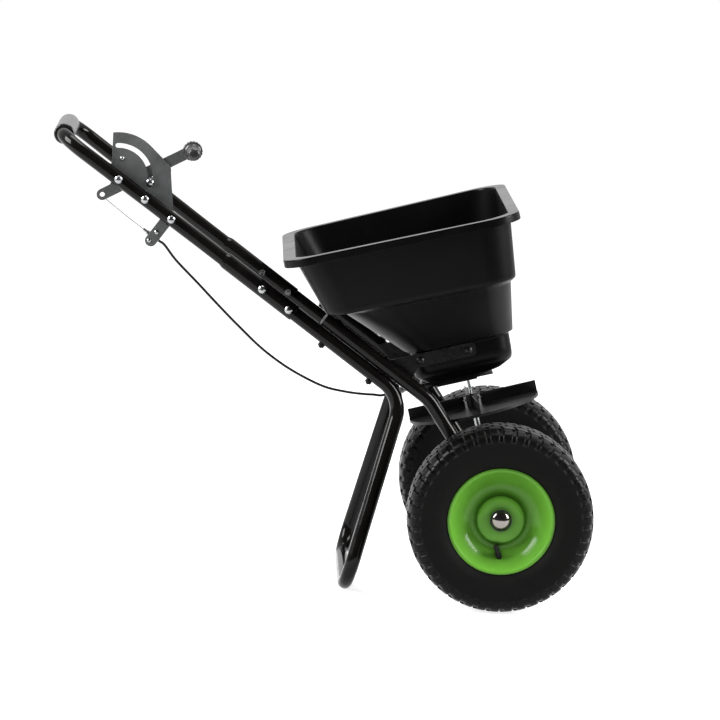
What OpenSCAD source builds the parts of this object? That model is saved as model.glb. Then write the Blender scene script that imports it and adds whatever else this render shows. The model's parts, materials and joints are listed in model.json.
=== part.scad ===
// Walk-behind fertilizer spreader. It stands on its two tyres and on the foot of its stand.
// X points the way the machine is pushed, Y to its left and Z up. Sizes are in millimetres.

/* [Wheels] */
// Outside diameter of a tyre
tyre_d = 330; // [310:1:345]
// Width of a tyre
tyre_w = 127; // [122:0.5:132]
// Distance between the middle planes of the two wheels
track = 460; // [450:1:490]
// Diameter of the flanges of a rim
rim_d = 190; // [184:1:194]
// Distance from the middle plane of a wheel to the outside of a rim's flange
rim_half_w = 50.5; // [48:0.1:52]
// Thickness of the rubber in a tyre's walls
tyre_wall = 7.5; // [6:0.1:9]
// Thickness of a rim's sheet
rim_t = 2.5; // [2:0.1:3]
// Diameter of the lowest ring of a rim's dish
valley_d = 104; // [98:1:112]
// Depth of that ring under the outside of the flange
valley_depth = 31.5; // [24:0.5:34]
// Diameter of the raised middle of a rim
boss_d = 84; // [76:1:88]
// Height of the raised middle over the lowest ring
boss_h = 9.5; // [6:0.5:12]
// Outside diameter of a wheel's hub
hub_d = 40; // [36:0.5:44]
// Distance from the middle plane of a wheel to the end of its hub
hub_half_w = 35; // [32:0.5:38]
// Diameter of the bore of the hub, which holds a nylon bush
hub_bore = 24; // [22:0.1:26]
// Lugs round each shoulder of a tyre
lugs = 42; // [36:1:48]
// Width of the notch between two lugs
notch_w = 7; // [5:0.5:9]
// Depth of the notch between two lugs
notch_h = 3; // [2:0.1:4]
// Length of a notch across the tyre
notch_l = 26; // [20:1:32]

/* [Axle] */
// Diameter of the axle
axle_d = 16; // [14:0.1:18]
// Outside diameter of a sleeve that carries the axle
bearing_d = 32; // [30:0.5:36]
// Length of a sleeve that carries the axle
bearing_l = 30; // [26:1:34]
// Outside diameter of the bush in a sleeve
bush_d = 24; // [22:0.1:26]
// Thickness of the flange of a bush
bush_flange = 1.5; // [1:0.1:2]
// Diameter of the hub caps
cap_d = 33; // [30:0.5:36]
// Height of the hub caps
cap_h = 9; // [7:0.5:11]
// Diameter of the cross pins in the axle
pin_d = 5; // [4:0.1:6]

/* [Frame] */
// Outside diameter of the frame's tubes
tube_d = 25.4; // [24:0.1:27]
// Wall of the frame's tubes
tube_t = 2; // [1.8:0.1:2.4]
// Slope of the handle tubes
handle_slope = 34; // [31:0.5:36]
// Horizontal distance from the axle back to the corner of the stand
corner_back = 183; // [178:1:190]
// Height of the corner of the stand
corner_up = 352.5; // [346:0.5:360]
// Distance from the middle of the machine to the straight part of the handle tubes
tube_half = 130; // [126:1:134]
// Distance along the handle from the stand's corner to the grip bar
bar_s = 760; // [740:1:780]
// Distance along the handle from the stand's corner to where the handle starts to widen
kink_s = 456; // [440:1:470]
// Distance from the middle of the machine to the handle's top corners
bar_half = 155; // [148:1:160]
// Radius of the handle's top corners
bar_bend = 45; // [38:1:50]
// Distance along the handle to the lower end of the widened socket
socket_s = 244; // [240:1:248]
// Length of the widened socket
socket_l = 153; // [140:1:160]
// Outside diameter of the widened socket
socket_d = 29.6; // [29.4:0.1:32]
// Depth that the lower tube reaches into the socket
plug_l = 95; // [88:1:110]
// Horizontal distance from the stand's corner back to its foot
foot_back = 79.6; // [70:0.2:90]
// Distance from the middle of the machine to the corners of the foot
foot_half = 187; // [170:1:195]
// Radius of the stand's upper corners
stand_bend = 60; // [50:1:70]
// Radius of the corners of the foot
foot_bend = 50; // [40:1:60]
// Gap between the end of the chassis tube and the hopper's upper step
end_gap = 1.3; // [0.6:0.1:4]
// Distance along the handle, past the stand's corner, to the chassis tube's own corner
chassis_corner_s = 41; // [36:1:46]
// Radius of the chassis tube's corner
chassis_bend = 80; // [70:1:90]
// Gap between the stand tube and the chassis tube on it
lap_gap = 0.3; // [0.3:0.05:0.6]
// Distances along the handle to the bolts that join the stand and the chassis
join_low_s = 65; // [60:1:70]
join_high_s = 171.5; // [165:0.5:178]
// Distances along the handle to the bolts of the socket
socket_bolt_low_s = 257; // [254:1:262]
socket_bolt_high_s = 316.5; // [305:0.5:324]
// Diameter of the foam grip
grip_d = 37; // [33:0.5:42]
// Length of the foam grip
grip_l = 210; // [180:1:216]

/* [Fasteners] */
// Diameter of the frame bolts
bolt_d = 6; // [5:0.1:7]
// Diameter of a frame bolt's domed head
head_d = 14; // [12:0.5:16]
// Height of a frame bolt's domed head
head_h = 3.5; // [3:0.1:4]
// Width of a nut across its corners
nut_d = 12; // [11:0.5:14]
// Height of a nut
nut_h = 5.5; // [4:0.5:7]

/* [Hopper] */
// Tilt of the hopper, nose up
hopper_tilt = 16.4; // [14:0.2:18]
// Height of the hopper's rim over the axle, along the spinner's shaft
rim_w = 524.5; // [515:0.5:535]
// Reach of the rim behind the spinner's shaft
rim_rear = 276; // [268:1:284]
// Reach of the rim in front of the spinner's shaft
rim_front = 147; // [140:1:155]
// Half width of the rim at the rear
rim_half_rear = 245; // [238:1:252]
// Half width of the rim at the front
rim_half_front = 280; // [272:1:286]
// Width of the rim's flange
flange_w = 16; // [13:0.5:20]
// Height of the rim's down-turned lip
lip_h = 14; // [10:0.5:18]
// Wall of the hopper
wall = 3.5; // [3:0.1:4]
// Height of the upper step of the hopper
step_high_w = 406.5; // [400:0.5:412]
// Height of the lower step of the hopper
step_low_w = 301; // [298:0.5:304]
// Thickness of the plates that carry the hopper
bracket_t = 3.1; // [2.5:0.1:4]
// Height of the hopper's bottom
bottom_w = 228; // [227:0.1:229]

/* [Spreading] */
// Diameter of the spinner disc
disc_d = 238; // [230:1:246]
// Height of the top of the spinner disc over the axle
disc_w = 169.5; // [167:0.5:172]
// Thickness of the spinner disc
disc_t = 2.2; // [1.8:0.1:2.6]
// Depth of the disc's down-turned lip
disc_lip = 5; // [4:0.5:7]
// Height of the vanes
vane_h = 20; // [16:0.5:24]
// Thickness of the vanes
vane_t = 2; // [1.6:0.1:2.6]
// Number of vanes
vanes = 4; // [2:1:6]
// Turn of the vanes at rest
vane_turn = 3.4; // [0:0.2:8]
// Diameter of the spinner's hub
spinner_hub_d = 22; // [20:0.5:24]
// Diameter of the spinner's shaft under the disc
shaft_d = 10; // [9:0.1:11]
// Diameter of the spinner's shaft in the hopper
thin_shaft_d = 6; // [5:0.1:6.6]
// Length of the shutter's slide
shutter_travel = 34; // [30:0.5:36]
// Thickness of the shutter
shutter_t = 2; // [1.6:0.1:2.4]
// Thickness of the plate under the hopper
floor_t = 1.5; // [1.2:0.1:2]
// Half width of the shutter
shutter_half = 42; // [40:0.5:46]
// Diameter of the two outlets
outlet_d = 24; // [20:0.5:26]
// Distance of the outlets behind the spinner's shaft
outlet_back = 30; // [28:0.5:32]
// Distance of each outlet from the middle
outlet_side = 24; // [20:0.5:26]
// Diameter of the wires
wire_d = 1.6; // [1.2:0.1:2]
// Diameter of the outer cable
cable_d = 4.6; // [4:0.1:5]

/* [Gears] */
// Teeth of the pinion on the spinner's shaft
pinion_teeth = 8; // [8:1:8]
// Teeth of the crown gear on the axle
crown_teeth = 24; // [24:1:24]
// Pitch radius of the pinion
pinion_r = 12; // [11.5:0.1:12.5]
// Wall of the gear case
case_t = 3; // [2.5:0.1:4]

/* [Control] */
// Distance along the handle from the stand's corner to the lever's pivot
lever_s = 637.5; // [625:0.5:645]
// Distance between the bolts that hold the quadrant plate
plate_pitch = 58.75; // [56:0.25:60]
// Thickness of the quadrant plate
plate_t = 3; // [2.5:0.1:4]
// Radius of the quadrant plate's round top
plate_r = 80.5; // [78:0.5:82]
// Radius of the middle of the plate's slot
slot_r = 57; // [55:0.5:59]
// Width of the plate's slot
slot_w = 8.5; // [7.5:0.1:10]
// Thickness of the lever
lever_t = 4; // [3:0.1:5]
// Width of the lever
lever_w = 20; // [18:0.5:22]
// Slope of the lever at rest, from the handle tube
lever_angle = 63.7; // [60:0.1:66]
// Distance from the pivot to the lever's middle line
lever_off = 15.5; // [14:0.5:17]
// Distance from the pivot to the middle of the lever's tail, across the handle tube
tail_n = 41.4; // [38:0.2:44]
// Distance from the pivot to the knob, across the handle tube
knob_n = 117.7; // [105:0.5:125]
// Swing of the lever
lever_swing = 60; // [50:1:64]
// Diameter of the hole in the lever's tail
tail_hole_d = 9; // [8:0.1:10]
// Diameter of the knob's body
knob_d = 23.2; // [20:0.2:26]
// Diameter of the knob's fluted collar
collar_d = 35; // [30:0.5:38]
// Length of the knob
knob_l = 56; // [48:0.5:62]
// Radius of the stop's collar
stop_r = 7.5; // [6.5:0.1:8.5]
// Distance of the wire under the handle tube's middle
wire_n = 46.5; // [44:0.5:49]

/* [Hidden] */
$fn = 64;
// clearances
run = 0.05;
seat = 0.1;
face = 0.1;
slide = 0.3;
// places that follow from the sizes
tyre_r = tyre_d / 2;
rim_r = rim_d / 2;
tube_r = tube_d / 2;
axle_r = axle_d / 2;
wheel_y = track / 2;
bar_x = -corner_back - bar_s * cos(handle_slope);
bar_z = corner_up + bar_s * sin(handle_slope);
mid_x = (tyre_r + bar_x - grip_d / 2) / 2;
taper = atan((bar_half - tube_half) / (bar_s - kink_s));
lap_n = tube_d + lap_gap;
plug_s = socket_s + plug_l;
seat_r = rim_r - 8.5;
valley_y = rim_half_w - valley_depth;
boss_y = valley_y + boss_h;
floor_w = bottom_w - floor_t;
shutter_w = floor_w - face - shutter_t;
wire_w = shutter_w - 0.9;
case_in_r = 44;
screw_r = case_in_r + case_t + 4.6;
plate_y = tube_r + seat;
lever_y = plate_y + plate_t + 0.5;
cable_y = plate_y + plate_t + 4.6;
lever_dir = [cos(lever_angle), sin(lever_angle)];
lever_side = [sin(lever_angle), -cos(lever_angle)];
tail_k = (-tail_n - lever_off * lever_side[1]) / lever_dir[1];
knob_k = (knob_n - lever_off * lever_side[1]) / lever_dir[1];
tail_at = lever_off * lever_side + tail_k * lever_dir;
knob_at = lever_off * lever_side + knob_k * lever_dir;
stop_angle = lever_angle - 90 + acos((lever_off + lever_w / 2 + slide + stop_r) / slot_r);
stop_at = slot_r * [cos(stop_angle), sin(stop_angle)];
hook_at = tail_at + 7.4 * [0.92, -0.39];
ferrule_u = -128;
anchor_u = -123;
tail_u = -90;
hopper_bolts_u = [-77.5, 10];
hopper_pads = [15, 6.5];
hopper_bolt_w = step_low_w - 14.2;
bracket_out = tube_half - tube_r - seat;
throat_half = bracket_out - bracket_t - face;
low_h = step_low_w - bottom_w;
// the hopper's rear wall and the end of the chassis tube keep clear of each other
lean = handle_slope + hopper_tilt;
under_step_w = step_high_w - 5;
rear_room = 19.4;
rear_high = reach_at(under_step_w, lap_n + tube_r) + rear_room;
step_out = 28;
step_rise = 8 / step_out;
chassis_end_w = under_step_w + (step_rise * rear_room - end_gap / cos(atan(step_rise)))
    / (1 - step_rise / tan(lean));
chassis_s = (chassis_end_w - height_on(0, lap_n + tube_r)) / sin(lean);

// Places

function unit(v) = v / norm(v);
function half_at(s) = tube_half + max(0, s - kink_s) * tan(taper);
function on_handle(s, n, side) = [
    -corner_back - s * cos(handle_slope) + n * sin(handle_slope),
    side * half_at(s),
    corner_up + s * sin(handle_slope) + n * cos(handle_slope)];
// a point given along the hopper's own axes, in the axes of the machine
function from_hopper(u, v, w) = [
    u * cos(hopper_tilt) - w * sin(hopper_tilt),
    v,
    tyre_r + u * sin(hopper_tilt) + w * cos(hopper_tilt)];
// along the hopper's own axes: the height and reach of a point s along a handle tube and n above its middle
function height_on(s, n) = (corner_back - n * sin(handle_slope)) * sin(hopper_tilt)
    + (corner_up - tyre_r + n * cos(handle_slope)) * cos(hopper_tilt) + s * sin(lean);
function reach_on(s, n) = -(corner_back - n * sin(handle_slope)) * cos(hopper_tilt)
    + (corner_up - tyre_r + n * cos(handle_slope)) * sin(hopper_tilt) - s * cos(lean);
function reach_at(w, n) = reach_on((w - height_on(0, n)) / sin(lean), n);
// a point given at the lever's pivot, in the axes of the machine
function from_lever(s, y, n) =
    let (a = s * cos(taper) - y * sin(taper), b = s * sin(taper) + y * cos(taper))
    on_handle(lever_s, 0, -1) + [
        a * cos(handle_slope) + n * sin(handle_slope),
        b,
        -a * sin(handle_slope) + n * cos(handle_slope)];

module machine() translate([-mid_x, 0, 0]) children();
module at_axle() machine() translate([0, 0, tyre_r]) children();
module in_hopper() at_axle() rotate([0, -hopper_tilt, 0]) children();
module on_tube(s, side) machine() translate(on_handle(s, 0, side)) rotate([0, handle_slope, 0]) children();
module at_lever() on_tube(lever_s, -1) rotate([0, 0, taper]) children();
module wheel_right() at_axle() translate([0, -wheel_y, 0]) rotate([90, 0, 0]) children();
module wheel_left() at_axle() translate([0, wheel_y, 0]) rotate([-90, 0, 0]) children();
module along_y(y0, y1, d, $fn = $fn) translate([0, y0, 0]) rotate([-90, 0, 0]) cylinder(h = y1 - y0, d = d);

// Bent tubes

module straight(a, b, d) {
    v = b - a;
    translate(a) rotate([0, acos(v[2] / norm(v)), atan2(v[1], v[0])]) cylinder(h = norm(v), d = d);
}

// places along the bend at b, on the way from a to c: each is a point and a direction
function bend(a, b, c, r) =
    let (go = unit(b - a), out = unit(c - b), turn = acos(go * out), side = unit(out - (go * out) * go),
        mid = b - r * tan(turn / 2) * go + r * side, m = ceil(turn / 12))
    [for (k = [0 : m]) let (t = turn * k / m)
        [mid - r * cos(t) * side + r * sin(t) * go, cos(t) * go + sin(t) * side]];
function places(p, radii) = concat([[p[0], unit(p[1] - p[0])]],
    [for (i = [1 : len(p) - 2]) for (q = bend(p[i - 1], p[i], p[i + 1], radii[i])) q],
    [[p[len(p) - 1], unit(p[len(p) - 1] - p[len(p) - 2])]]);

// a tube along the points p, with a bend of radius radii[i] at each inner point
module bent_tube(p, radii, facing) {
    n = 24;
    q = places(p, radii);
    m = len(q) - 1;
    shell = [for (r = [tube_r, tube_r - tube_t]) for (i = [0 : m]) for (k = [0 : n - 1])
        let (side = unit(cross(q[i][1], facing)), up = cross(side, q[i][1]))
        q[i][0] + r * (cos(360 * k / n) * side + sin(360 * k / n) * up)];
    in0 = (m + 1) * n;
    quads = concat(
        [for (i = [0 : m - 1]) for (k = [0 : n - 1]) let (j = (k + 1) % n)
            [i * n + k, i * n + j, (i + 1) * n + j, (i + 1) * n + k]],
        [for (i = [0 : m - 1]) for (k = [0 : n - 1]) let (j = (k + 1) % n)
            [in0 + i * n + j, in0 + i * n + k, in0 + (i + 1) * n + k, in0 + (i + 1) * n + j]],
        [for (k = [0 : n - 1]) let (j = (k + 1) % n) [j, k, in0 + k, in0 + j]],
        [for (k = [0 : n - 1]) let (j = (k + 1) % n, o = m * n) [o + k, o + j, in0 + o + j, in0 + o + k]]);
    polyhedron(points = shell, faces = [for (f = quads) for (h = [0, 1])
        h == 0 ? [f[0], f[1], f[2]] : [f[0], f[2], f[3]]]);
}

// Fasteners, along +Z from the seat of the head at 0 to the seat of the nut at l

module dome(d, h) {
    rotate_extrude() intersection() {
        translate([0, h - (d * d / 4 + h * h) / (2 * h)]) circle(r = (d * d / 4 + h * h) / (2 * h), $fn = 96);
        square([d / 2, h]);
    }
}

module bolt_and_nut(l, d = bolt_d) {
    mirror([0, 0, 1]) dome(head_d, head_h);
    cylinder(h = l + nut_h + 2, d = d);
    translate([0, 0, l]) cylinder(h = nut_h, d = nut_d, $fn = 6);
}

// Handle, stand and chassis

handle_path = [on_handle(plug_s + 1, 0, -1), on_handle(kink_s, 0, -1), on_handle(bar_s, 0, -1),
    on_handle(bar_s, 0, 1), on_handle(kink_s, 0, 1), on_handle(plug_s + 1, 0, 1)];
handle_bends = [0, 200, bar_bend, bar_bend, 200, 0];
foot_x = -corner_back - foot_back;
stand_path = [on_handle(plug_s, 0, -1), on_handle(0, 0, -1), [foot_x, -foot_half, tube_r],
    [foot_x, foot_half, tube_r], on_handle(0, 0, 1), on_handle(plug_s, 0, 1)];
stand_bends = [0, stand_bend, foot_bend, foot_bend, stand_bend, 0];

module handlebar() color([0.04, 0.04, 0.045]) difference() {
    union() {
        machine() bent_tube(handle_path, handle_bends, on_handle(0, 1, 0) - on_handle(0, 0, 0));
        for (side = [-1, 1]) on_tube(socket_s, side) rotate([0, -90, 0]) rotate_extrude() polygon([
            [tube_r - 0.2, 0], [socket_d / 2, 0], [socket_d / 2, socket_l], [tube_r + 0.15, socket_l + 6],
            [tube_r - 0.2, socket_l + 6]]);
    }
    for (side = [-1, 1]) on_tube(socket_s, side) translate([1, 0, 0]) rotate([0, -90, 0])
        cylinder(h = plug_l + 4, d = tube_d + 2 * run);
    socket_bolt_holes();
    plate_bolt_holes();
}

module grip() color([0.03, 0.03, 0.03]) machine() translate([bar_x, 0, bar_z]) difference() {
    rotate([90, 0, 0]) rotate_extrude() grip_half();
    along_y(-grip_l, grip_l, tube_d + 2 * run);
}
module grip_half() polygon([[0, -grip_l / 2], [grip_d / 2 - 2, -grip_l / 2], [grip_d / 2, -grip_l / 2 + 2],
    [grip_d / 2, grip_l / 2 - 2], [grip_d / 2 - 2, grip_l / 2], [0, grip_l / 2]]);

module stand_tube() color([0.04, 0.04, 0.045]) difference() {
    machine() bent_tube(stand_path, stand_bends, [1, 0, 0]);
    socket_bolt_holes();
    join_holes();
    join_dents(0, 1);
}

module chassis_tube(side) difference() {
    union() {
        machine() bent_tube([on_handle(chassis_s, lap_n, side), on_handle(-chassis_corner_s, lap_n, side),
            [0, side * tube_half, tyre_r]], [0, chassis_bend, 0], [0, 1, 0]);
        at_axle() translate([0, side * tube_half, 0]) rotate([90, 0, 0]) difference() {
            cylinder(h = bearing_l, d = bearing_d, center = true);
            cylinder(h = bearing_l + 1, d = bush_d - 1, center = true);
        }
    }
    at_axle() translate([0, side * tube_half, 0]) along_y(-bearing_l, bearing_l, bush_d + 2 * run);
    join_holes();
    join_dents(lap_n, -1);
}
module chassis_tube_right() color([0.04, 0.04, 0.045]) chassis_tube(-1);
module chassis_tube_left() color([0.04, 0.04, 0.045]) chassis_tube(1);

// plugs in the open ends of the chassis tubes
module tube_plugs() color([0.05, 0.05, 0.05]) for (side = [-1, 1])
    on_tube(chassis_s, side) translate([0, 0, lap_n]) rotate([0, -90, 0]) {
        dome(tube_d, 3);
        // the tube's bore has flats, so the plug is smaller by as much
        translate([0, 0, -12]) cylinder(h = 12, d = (tube_d - 2 * tube_t) * cos(7.5) - 2 * run);
    }

module each_join() for (side = [-1, 1]) for (s = [join_low_s, join_high_s]) on_tube(s, side) children();
module join_holes() each_join() translate([0, 0, -40]) cylinder(h = 100, d = bolt_d + 0.5);
// the tubes are pressed in a little round each bolt
module join_dents(n, up) each_join()
    translate([0, 0, n + up * (tube_r - 1.4 + 51.4)]) rotate([90, 0, 0]) cylinder(h = tube_d + 10, r = 51.4, center = true, $fn = 128);
module frame_bolts() color([0.75, 0.76, 0.78]) each_join() {
    translate([0, 0, lap_n + tube_r + seat]) rotate([180, 0, 0]) bolt_and_nut(lap_n + tube_d + 2 * seat);
}

module each_socket_bolt() for (side = [-1, 1]) for (s = [socket_bolt_low_s, socket_bolt_high_s]) on_tube(s, side)
    rotate([side * 90, 0, 0]) translate([0, 0, -socket_d / 2 - seat]) children();
module socket_bolt_holes() each_socket_bolt() translate([0, 0, -10]) cylinder(h = socket_d + 20, d = bolt_d + 0.5);
module socket_bolts() color([0.75, 0.76, 0.78]) each_socket_bolt() bolt_and_nut(socket_d + 2 * seat);

// Control lever and its plate. Here X runs down the handle tube, Y to the middle and Z across the tube.

module flat(y, t) translate([0, y + t, 0]) rotate([90, 0, 0]) linear_extrude(t) children();

module plate_bolt_holes() at_lever() for (k = [0 : 2])
    translate([k * plate_pitch, 0, 0]) along_y(-30, 30, bolt_d + 2 * run);

tab_l = 2 * plate_pitch - 13;
clamp_rivets = [[tab_l + 9.5, -wire_n + 10.5], [tab_l + 8, -wire_n - 9.5]];
slot_end = stop_angle - 6;
slot_start = 128;
arc_at = plate_r * [cos(83), sin(83)];
module arc_slot() translate([0, plate_y - 1, 0]) rotate([90, 0, 0]) {
    rotate([0, 0, slot_end]) rotate_extrude(angle = slot_start - slot_end, $fn = 128)
        translate([slot_r - slot_w / 2, -plate_t - 2]) square([slot_w, plate_t + 2]);
    for (a = [slot_end, slot_start]) rotate(a) translate([slot_r, 0, -plate_t - 2]) cylinder(h = plate_t + 2, d = slot_w - 0.02);
}
module quadrant_plate() color([0.07, 0.07, 0.075]) at_lever() difference() {
    union() {
        intersection() {
            along_y(plate_y, plate_y + plate_t, 2 * plate_r, $fn = 128);
            flat(plate_y - 1, plate_t + 2) polygon([[-25, -11], [-25, 15], [-57, 60], [-58, 90], [arc_at[0], 90],
                [40, 20], [40, -11]]);
        }
        flat(plate_y, plate_t) polygon([[-20, -11], [-20, 25], arc_at, [42, 75], [58, 73], [62, 71.5],
            [66, 68], [69, 63.5], [tab_l, 23], [tab_l + 14, 8], [tab_l + 21, -2], [tab_l + 21, -54], [tab_l, -54],
            [tab_l, -11]]);
        translate([tab_l + 10.5, 0, -54]) along_y(plate_y, plate_y + plate_t, 21);
    }
    for (k = [0 : 2]) translate([k * plate_pitch, 0, 0]) along_y(plate_y - 1, plate_y + plate_t + 1, bolt_d + 2 * run);
    for (p = concat(clamp_rivets, [guide_rivet])) translate([p[0], 0, p[1]])
        along_y(plate_y - 1, plate_y + plate_t + 1, 4 + 2 * run);
    arc_slot();
}
guide_rivet = [-15, 31];

// the bolts of the plate, the first of which is the lever's pivot
module plate_bolts() color([0.75, 0.76, 0.78]) at_lever() {
    for (k = [1 : 2]) translate([k * plate_pitch, -tube_r - seat, 0]) rotate([-90, 0, 0])
        bolt_and_nut(tube_d + 2 * seat + plate_t + seat);
    translate([0, -tube_r - seat, 0]) rotate([-90, 0, 0]) bolt_and_nut(tube_d + 2 * seat + plate_t + 0.5 + lever_t + face);
    difference() {
        along_y(plate_y + plate_t + 0.05, lever_y - 0.05, 18);
        along_y(plate_y, lever_y + 1, bolt_d + 2 * run);
    }
}

// the stop is clamped in the plate's slot: a head in front, a collar and a nut behind
module stop_bolt() color([0.75, 0.76, 0.78]) at_lever() translate([stop_at[0], 0, stop_at[1]]) {
    translate([0, plate_y - seat, 0]) rotate([90, 0, 0]) dome(head_d, head_h);
    along_y(plate_y - seat, lever_y + lever_t + 4, bolt_d);
    along_y(plate_y + plate_t + seat, lever_y + lever_t + 0.5, 2 * stop_r);
    translate([0, lever_y + lever_t + 0.5, 0]) rotate([-90, 0, 0]) cylinder(h = 3, d = nut_d, $fn = 6);
}

// a rivet of the plate and the two rivets of the cable's clamp
module plate_rivets() color([0.6, 0.61, 0.63]) at_lever() {
    translate([guide_rivet[0], plate_y - seat, guide_rivet[1]]) {
        rotate([90, 0, 0]) dome(8, 2.2);
        along_y(0, plate_t + seat, 4);
    }
    for (p = clamp_rivets) translate([p[0], plate_y - seat, p[1]]) {
        rotate([90, 0, 0]) dome(8, 2.2);
        along_y(0, plate_t + 2 * seat + 1.5 + seat, 4);
        translate([0, plate_t + 2 * seat + 1.5 + seat, 0]) rotate([-90, 0, 0]) dome(7, 1.8);
    }
}

module cable_clamp() color([0.6, 0.61, 0.63]) at_lever() translate([tab_l + 9, 0, -wire_n]) difference() {
    union() {
        translate([-6, plate_y + plate_t + seat, -15]) cube([12, 1.5, 30.5]);
        intersection() {
            translate([0, cable_y, 0]) rotate([0, 90, 0]) cylinder(h = 12, d = 10.4, center = true);
            translate([-6, plate_y + plate_t + seat, -15]) cube([12, 20, 30]);
        }
    }
    translate([0, cable_y, 0]) rotate([0, 90, 0]) cylinder(h = 14, d = 7.4 + 2 * seat, center = true);
    translate([-7, plate_y + plate_t - 1, -3.6]) cube([14, 4.6, 7.2]);
    for (p = clamp_rivets) translate([p[0] - tab_l - 9, 0, p[1] + wire_n]) along_y(plate_y, plate_y + 12, 4 + 2 * run);
}

// the threaded end of the cable, held by the clamp behind the plate's tab
module cable_adjuster() color([0.7, 0.71, 0.73]) at_lever() translate([0, cable_y, -wire_n]) rotate([0, 90, 0]) difference() {
    union() {
        translate([0, 0, tab_l - 12]) cylinder(h = 12, d = 5.4);
        translate([0, 0, tab_l - 3]) cylinder(h = 4, d = 8.6, $fn = 6);
        translate([0, 0, tab_l]) cylinder(h = 22, d = 7.4);
    }
    translate([0, 0, tab_l - 13]) cylinder(h = 26, d = wire_d + 1);
    translate([0, 0, tab_l + 12]) cylinder(h = 11, d = cable_d + 2 * run);
}

module control_lever() color([0.07, 0.07, 0.075]) at_lever() difference() {
    union() {
        flat(lever_y, lever_t) polygon([tail_at + lever_w / 2 * lever_side, knob_at + lever_w / 2 * lever_side,
            knob_at - lever_w / 2 * lever_side, tail_at - lever_w / 2 * lever_side]);
        translate([tail_at[0], 0, tail_at[1]]) along_y(lever_y, lever_y + lever_t, lever_w);
        translate([knob_at[0], 0, knob_at[1]]) along_y(lever_y, lever_y + lever_t, lever_w);
        flat(lever_y, lever_t) polygon([-10.5 * lever_dir, 10.5 * lever_dir,
            22 * lever_dir + (lever_off - lever_w / 2 + 2) * lever_side,
            -22 * lever_dir + (lever_off - lever_w / 2 + 2) * lever_side]);
        along_y(lever_y, lever_y + lever_t, 22);
    }
    for (h = [[[0, 0], bolt_d + 2 * run], [tail_at, tail_hole_d], [hook_at, wire_d + 2 * run], [knob_at, 5 + 2 * run]])
        translate([h[0][0], 0, h[0][1]]) along_y(lever_y - 1, lever_y + lever_t + 1, h[1]);
}

module lever_knob() color([0.03, 0.03, 0.03]) at_lever() translate([knob_at[0], lever_y - face, knob_at[1]]) difference() {
    rotate([90, 0, 0]) {
        difference() {
            cylinder(h = 12, d = collar_d);
            for (k = [0 : 17]) rotate(k * 20) translate([collar_d / 2 + 1, 0, -1]) cylinder(h = 14, d = 4.4);
        }
        translate([0, 0, 12]) cylinder(h = 3, d1 = collar_d - 3, d2 = knob_d);
        translate([0, 0, 15]) cylinder(h = knob_l - 21, d = knob_d);
        translate([0, 0, knob_l - 6]) rotate_extrude() intersection() {
            translate([0, -(knob_d * knob_d / 4 - 36) / 12]) circle(r = (knob_d * knob_d / 4 + 36) / 12, $fn = 96);
            square([knob_d / 2, 6]);
        }
    }
    along_y(-30, 1, 5 + 2 * run);
}
module knob_screw() color([0.75, 0.76, 0.78]) at_lever() translate([knob_at[0], lever_y + lever_t + face, knob_at[1]]) {
    rotate([-90, 0, 0]) dome(10, 3);
    along_y(-lever_t - 2 * face - 24, 0, 5);
}

// The cable, from the lever's plate to the shutter's anchor

cable_points = [[-600, -116, 567], [-560, -116, 530], [-520, -115, 492], [-480, -109, 455],
    [-440, -101, 420], [-400, -93, 392], [-360, -83, 370], [-320, -72, 353],
    [-280, -54, 344], [-250, -32, 339], [-230, -14, 336.5]];
cable_start = from_lever(tab_l + 12.1, cable_y, -wire_n);
cable_lead = from_lever(tab_l + 36, cable_y, -wire_n);
cable_end = from_hopper(ferrule_u - 20.5, 0, wire_w);
cable_turn = from_hopper(ferrule_u - 32, -2, wire_w);
route = concat([cable_start, from_lever(tab_l + 24, cable_y, -wire_n), cable_lead], cable_points, [cable_turn, cable_end]);

function spline(p, i, t) =
    let (a = p[max(i - 1, 0)], b = p[i], c = p[i + 1], d = p[min(i + 2, len(p) - 1)])
    0.5 * (2 * b + (c - a) * t + (2 * a - 5 * b + 4 * c - d) * t * t + (3 * b - a - 3 * c + d) * t * t * t);
function smooth_route(p, k) = concat(
    [for (i = [0 : len(p) - 2]) for (j = [0 : k - 1]) spline(p, i, j / k)], [p[len(p) - 1]]);

// a tube of n sides along the points p, whose last ring stands square to the direction last
module swept(p, d, n, last) {
    m = len(p) - 1;
    dirs = [for (i = [0 : m]) i == m ? last : unit(p[i + 1] - p[max(i - 1, 0)])];
    rings = [for (i = [0 : m]) for (k = [0 : n - 1])
        let (side = unit(cross(dirs[i], [0, 0, 1])), up = cross(side, dirs[i]))
        p[i] + d / 2 * (cos(360 * k / n) * side + sin(360 * k / n) * up)];
    walls = [for (i = [0 : m - 1]) for (k = [0 : n - 1])
        [i * n + k, i * n + (k + 1) % n, (i + 1) * n + (k + 1) % n, (i + 1) * n + k]];
    triangles = [for (q = walls) for (h = [0, 1]) h == 0 ? [q[0], q[1], q[2]] : [q[0], q[2], q[3]]];
    polyhedron(points = rings, faces = concat(triangles,
        [[for (k = [n - 1 : -1 : 0]) k]], [[for (k = [0 : n - 1]) m * n + k]]));
}

module outer_cable() color([0.04, 0.04, 0.04]) {
    machine() swept(smooth_route(route, 3), cable_d, 8, [cos(hopper_tilt), 0, sin(hopper_tilt)]);
    in_hopper() translate([ferrule_u - 21, 0, wire_w]) rotate([0, 90, 0]) difference() {
        cylinder(h = 21, d = cable_d + 0.2);
        translate([0, 0, 1.5]) cylinder(h = 22, d = wire_d + 0.8);
    }
}

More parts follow.
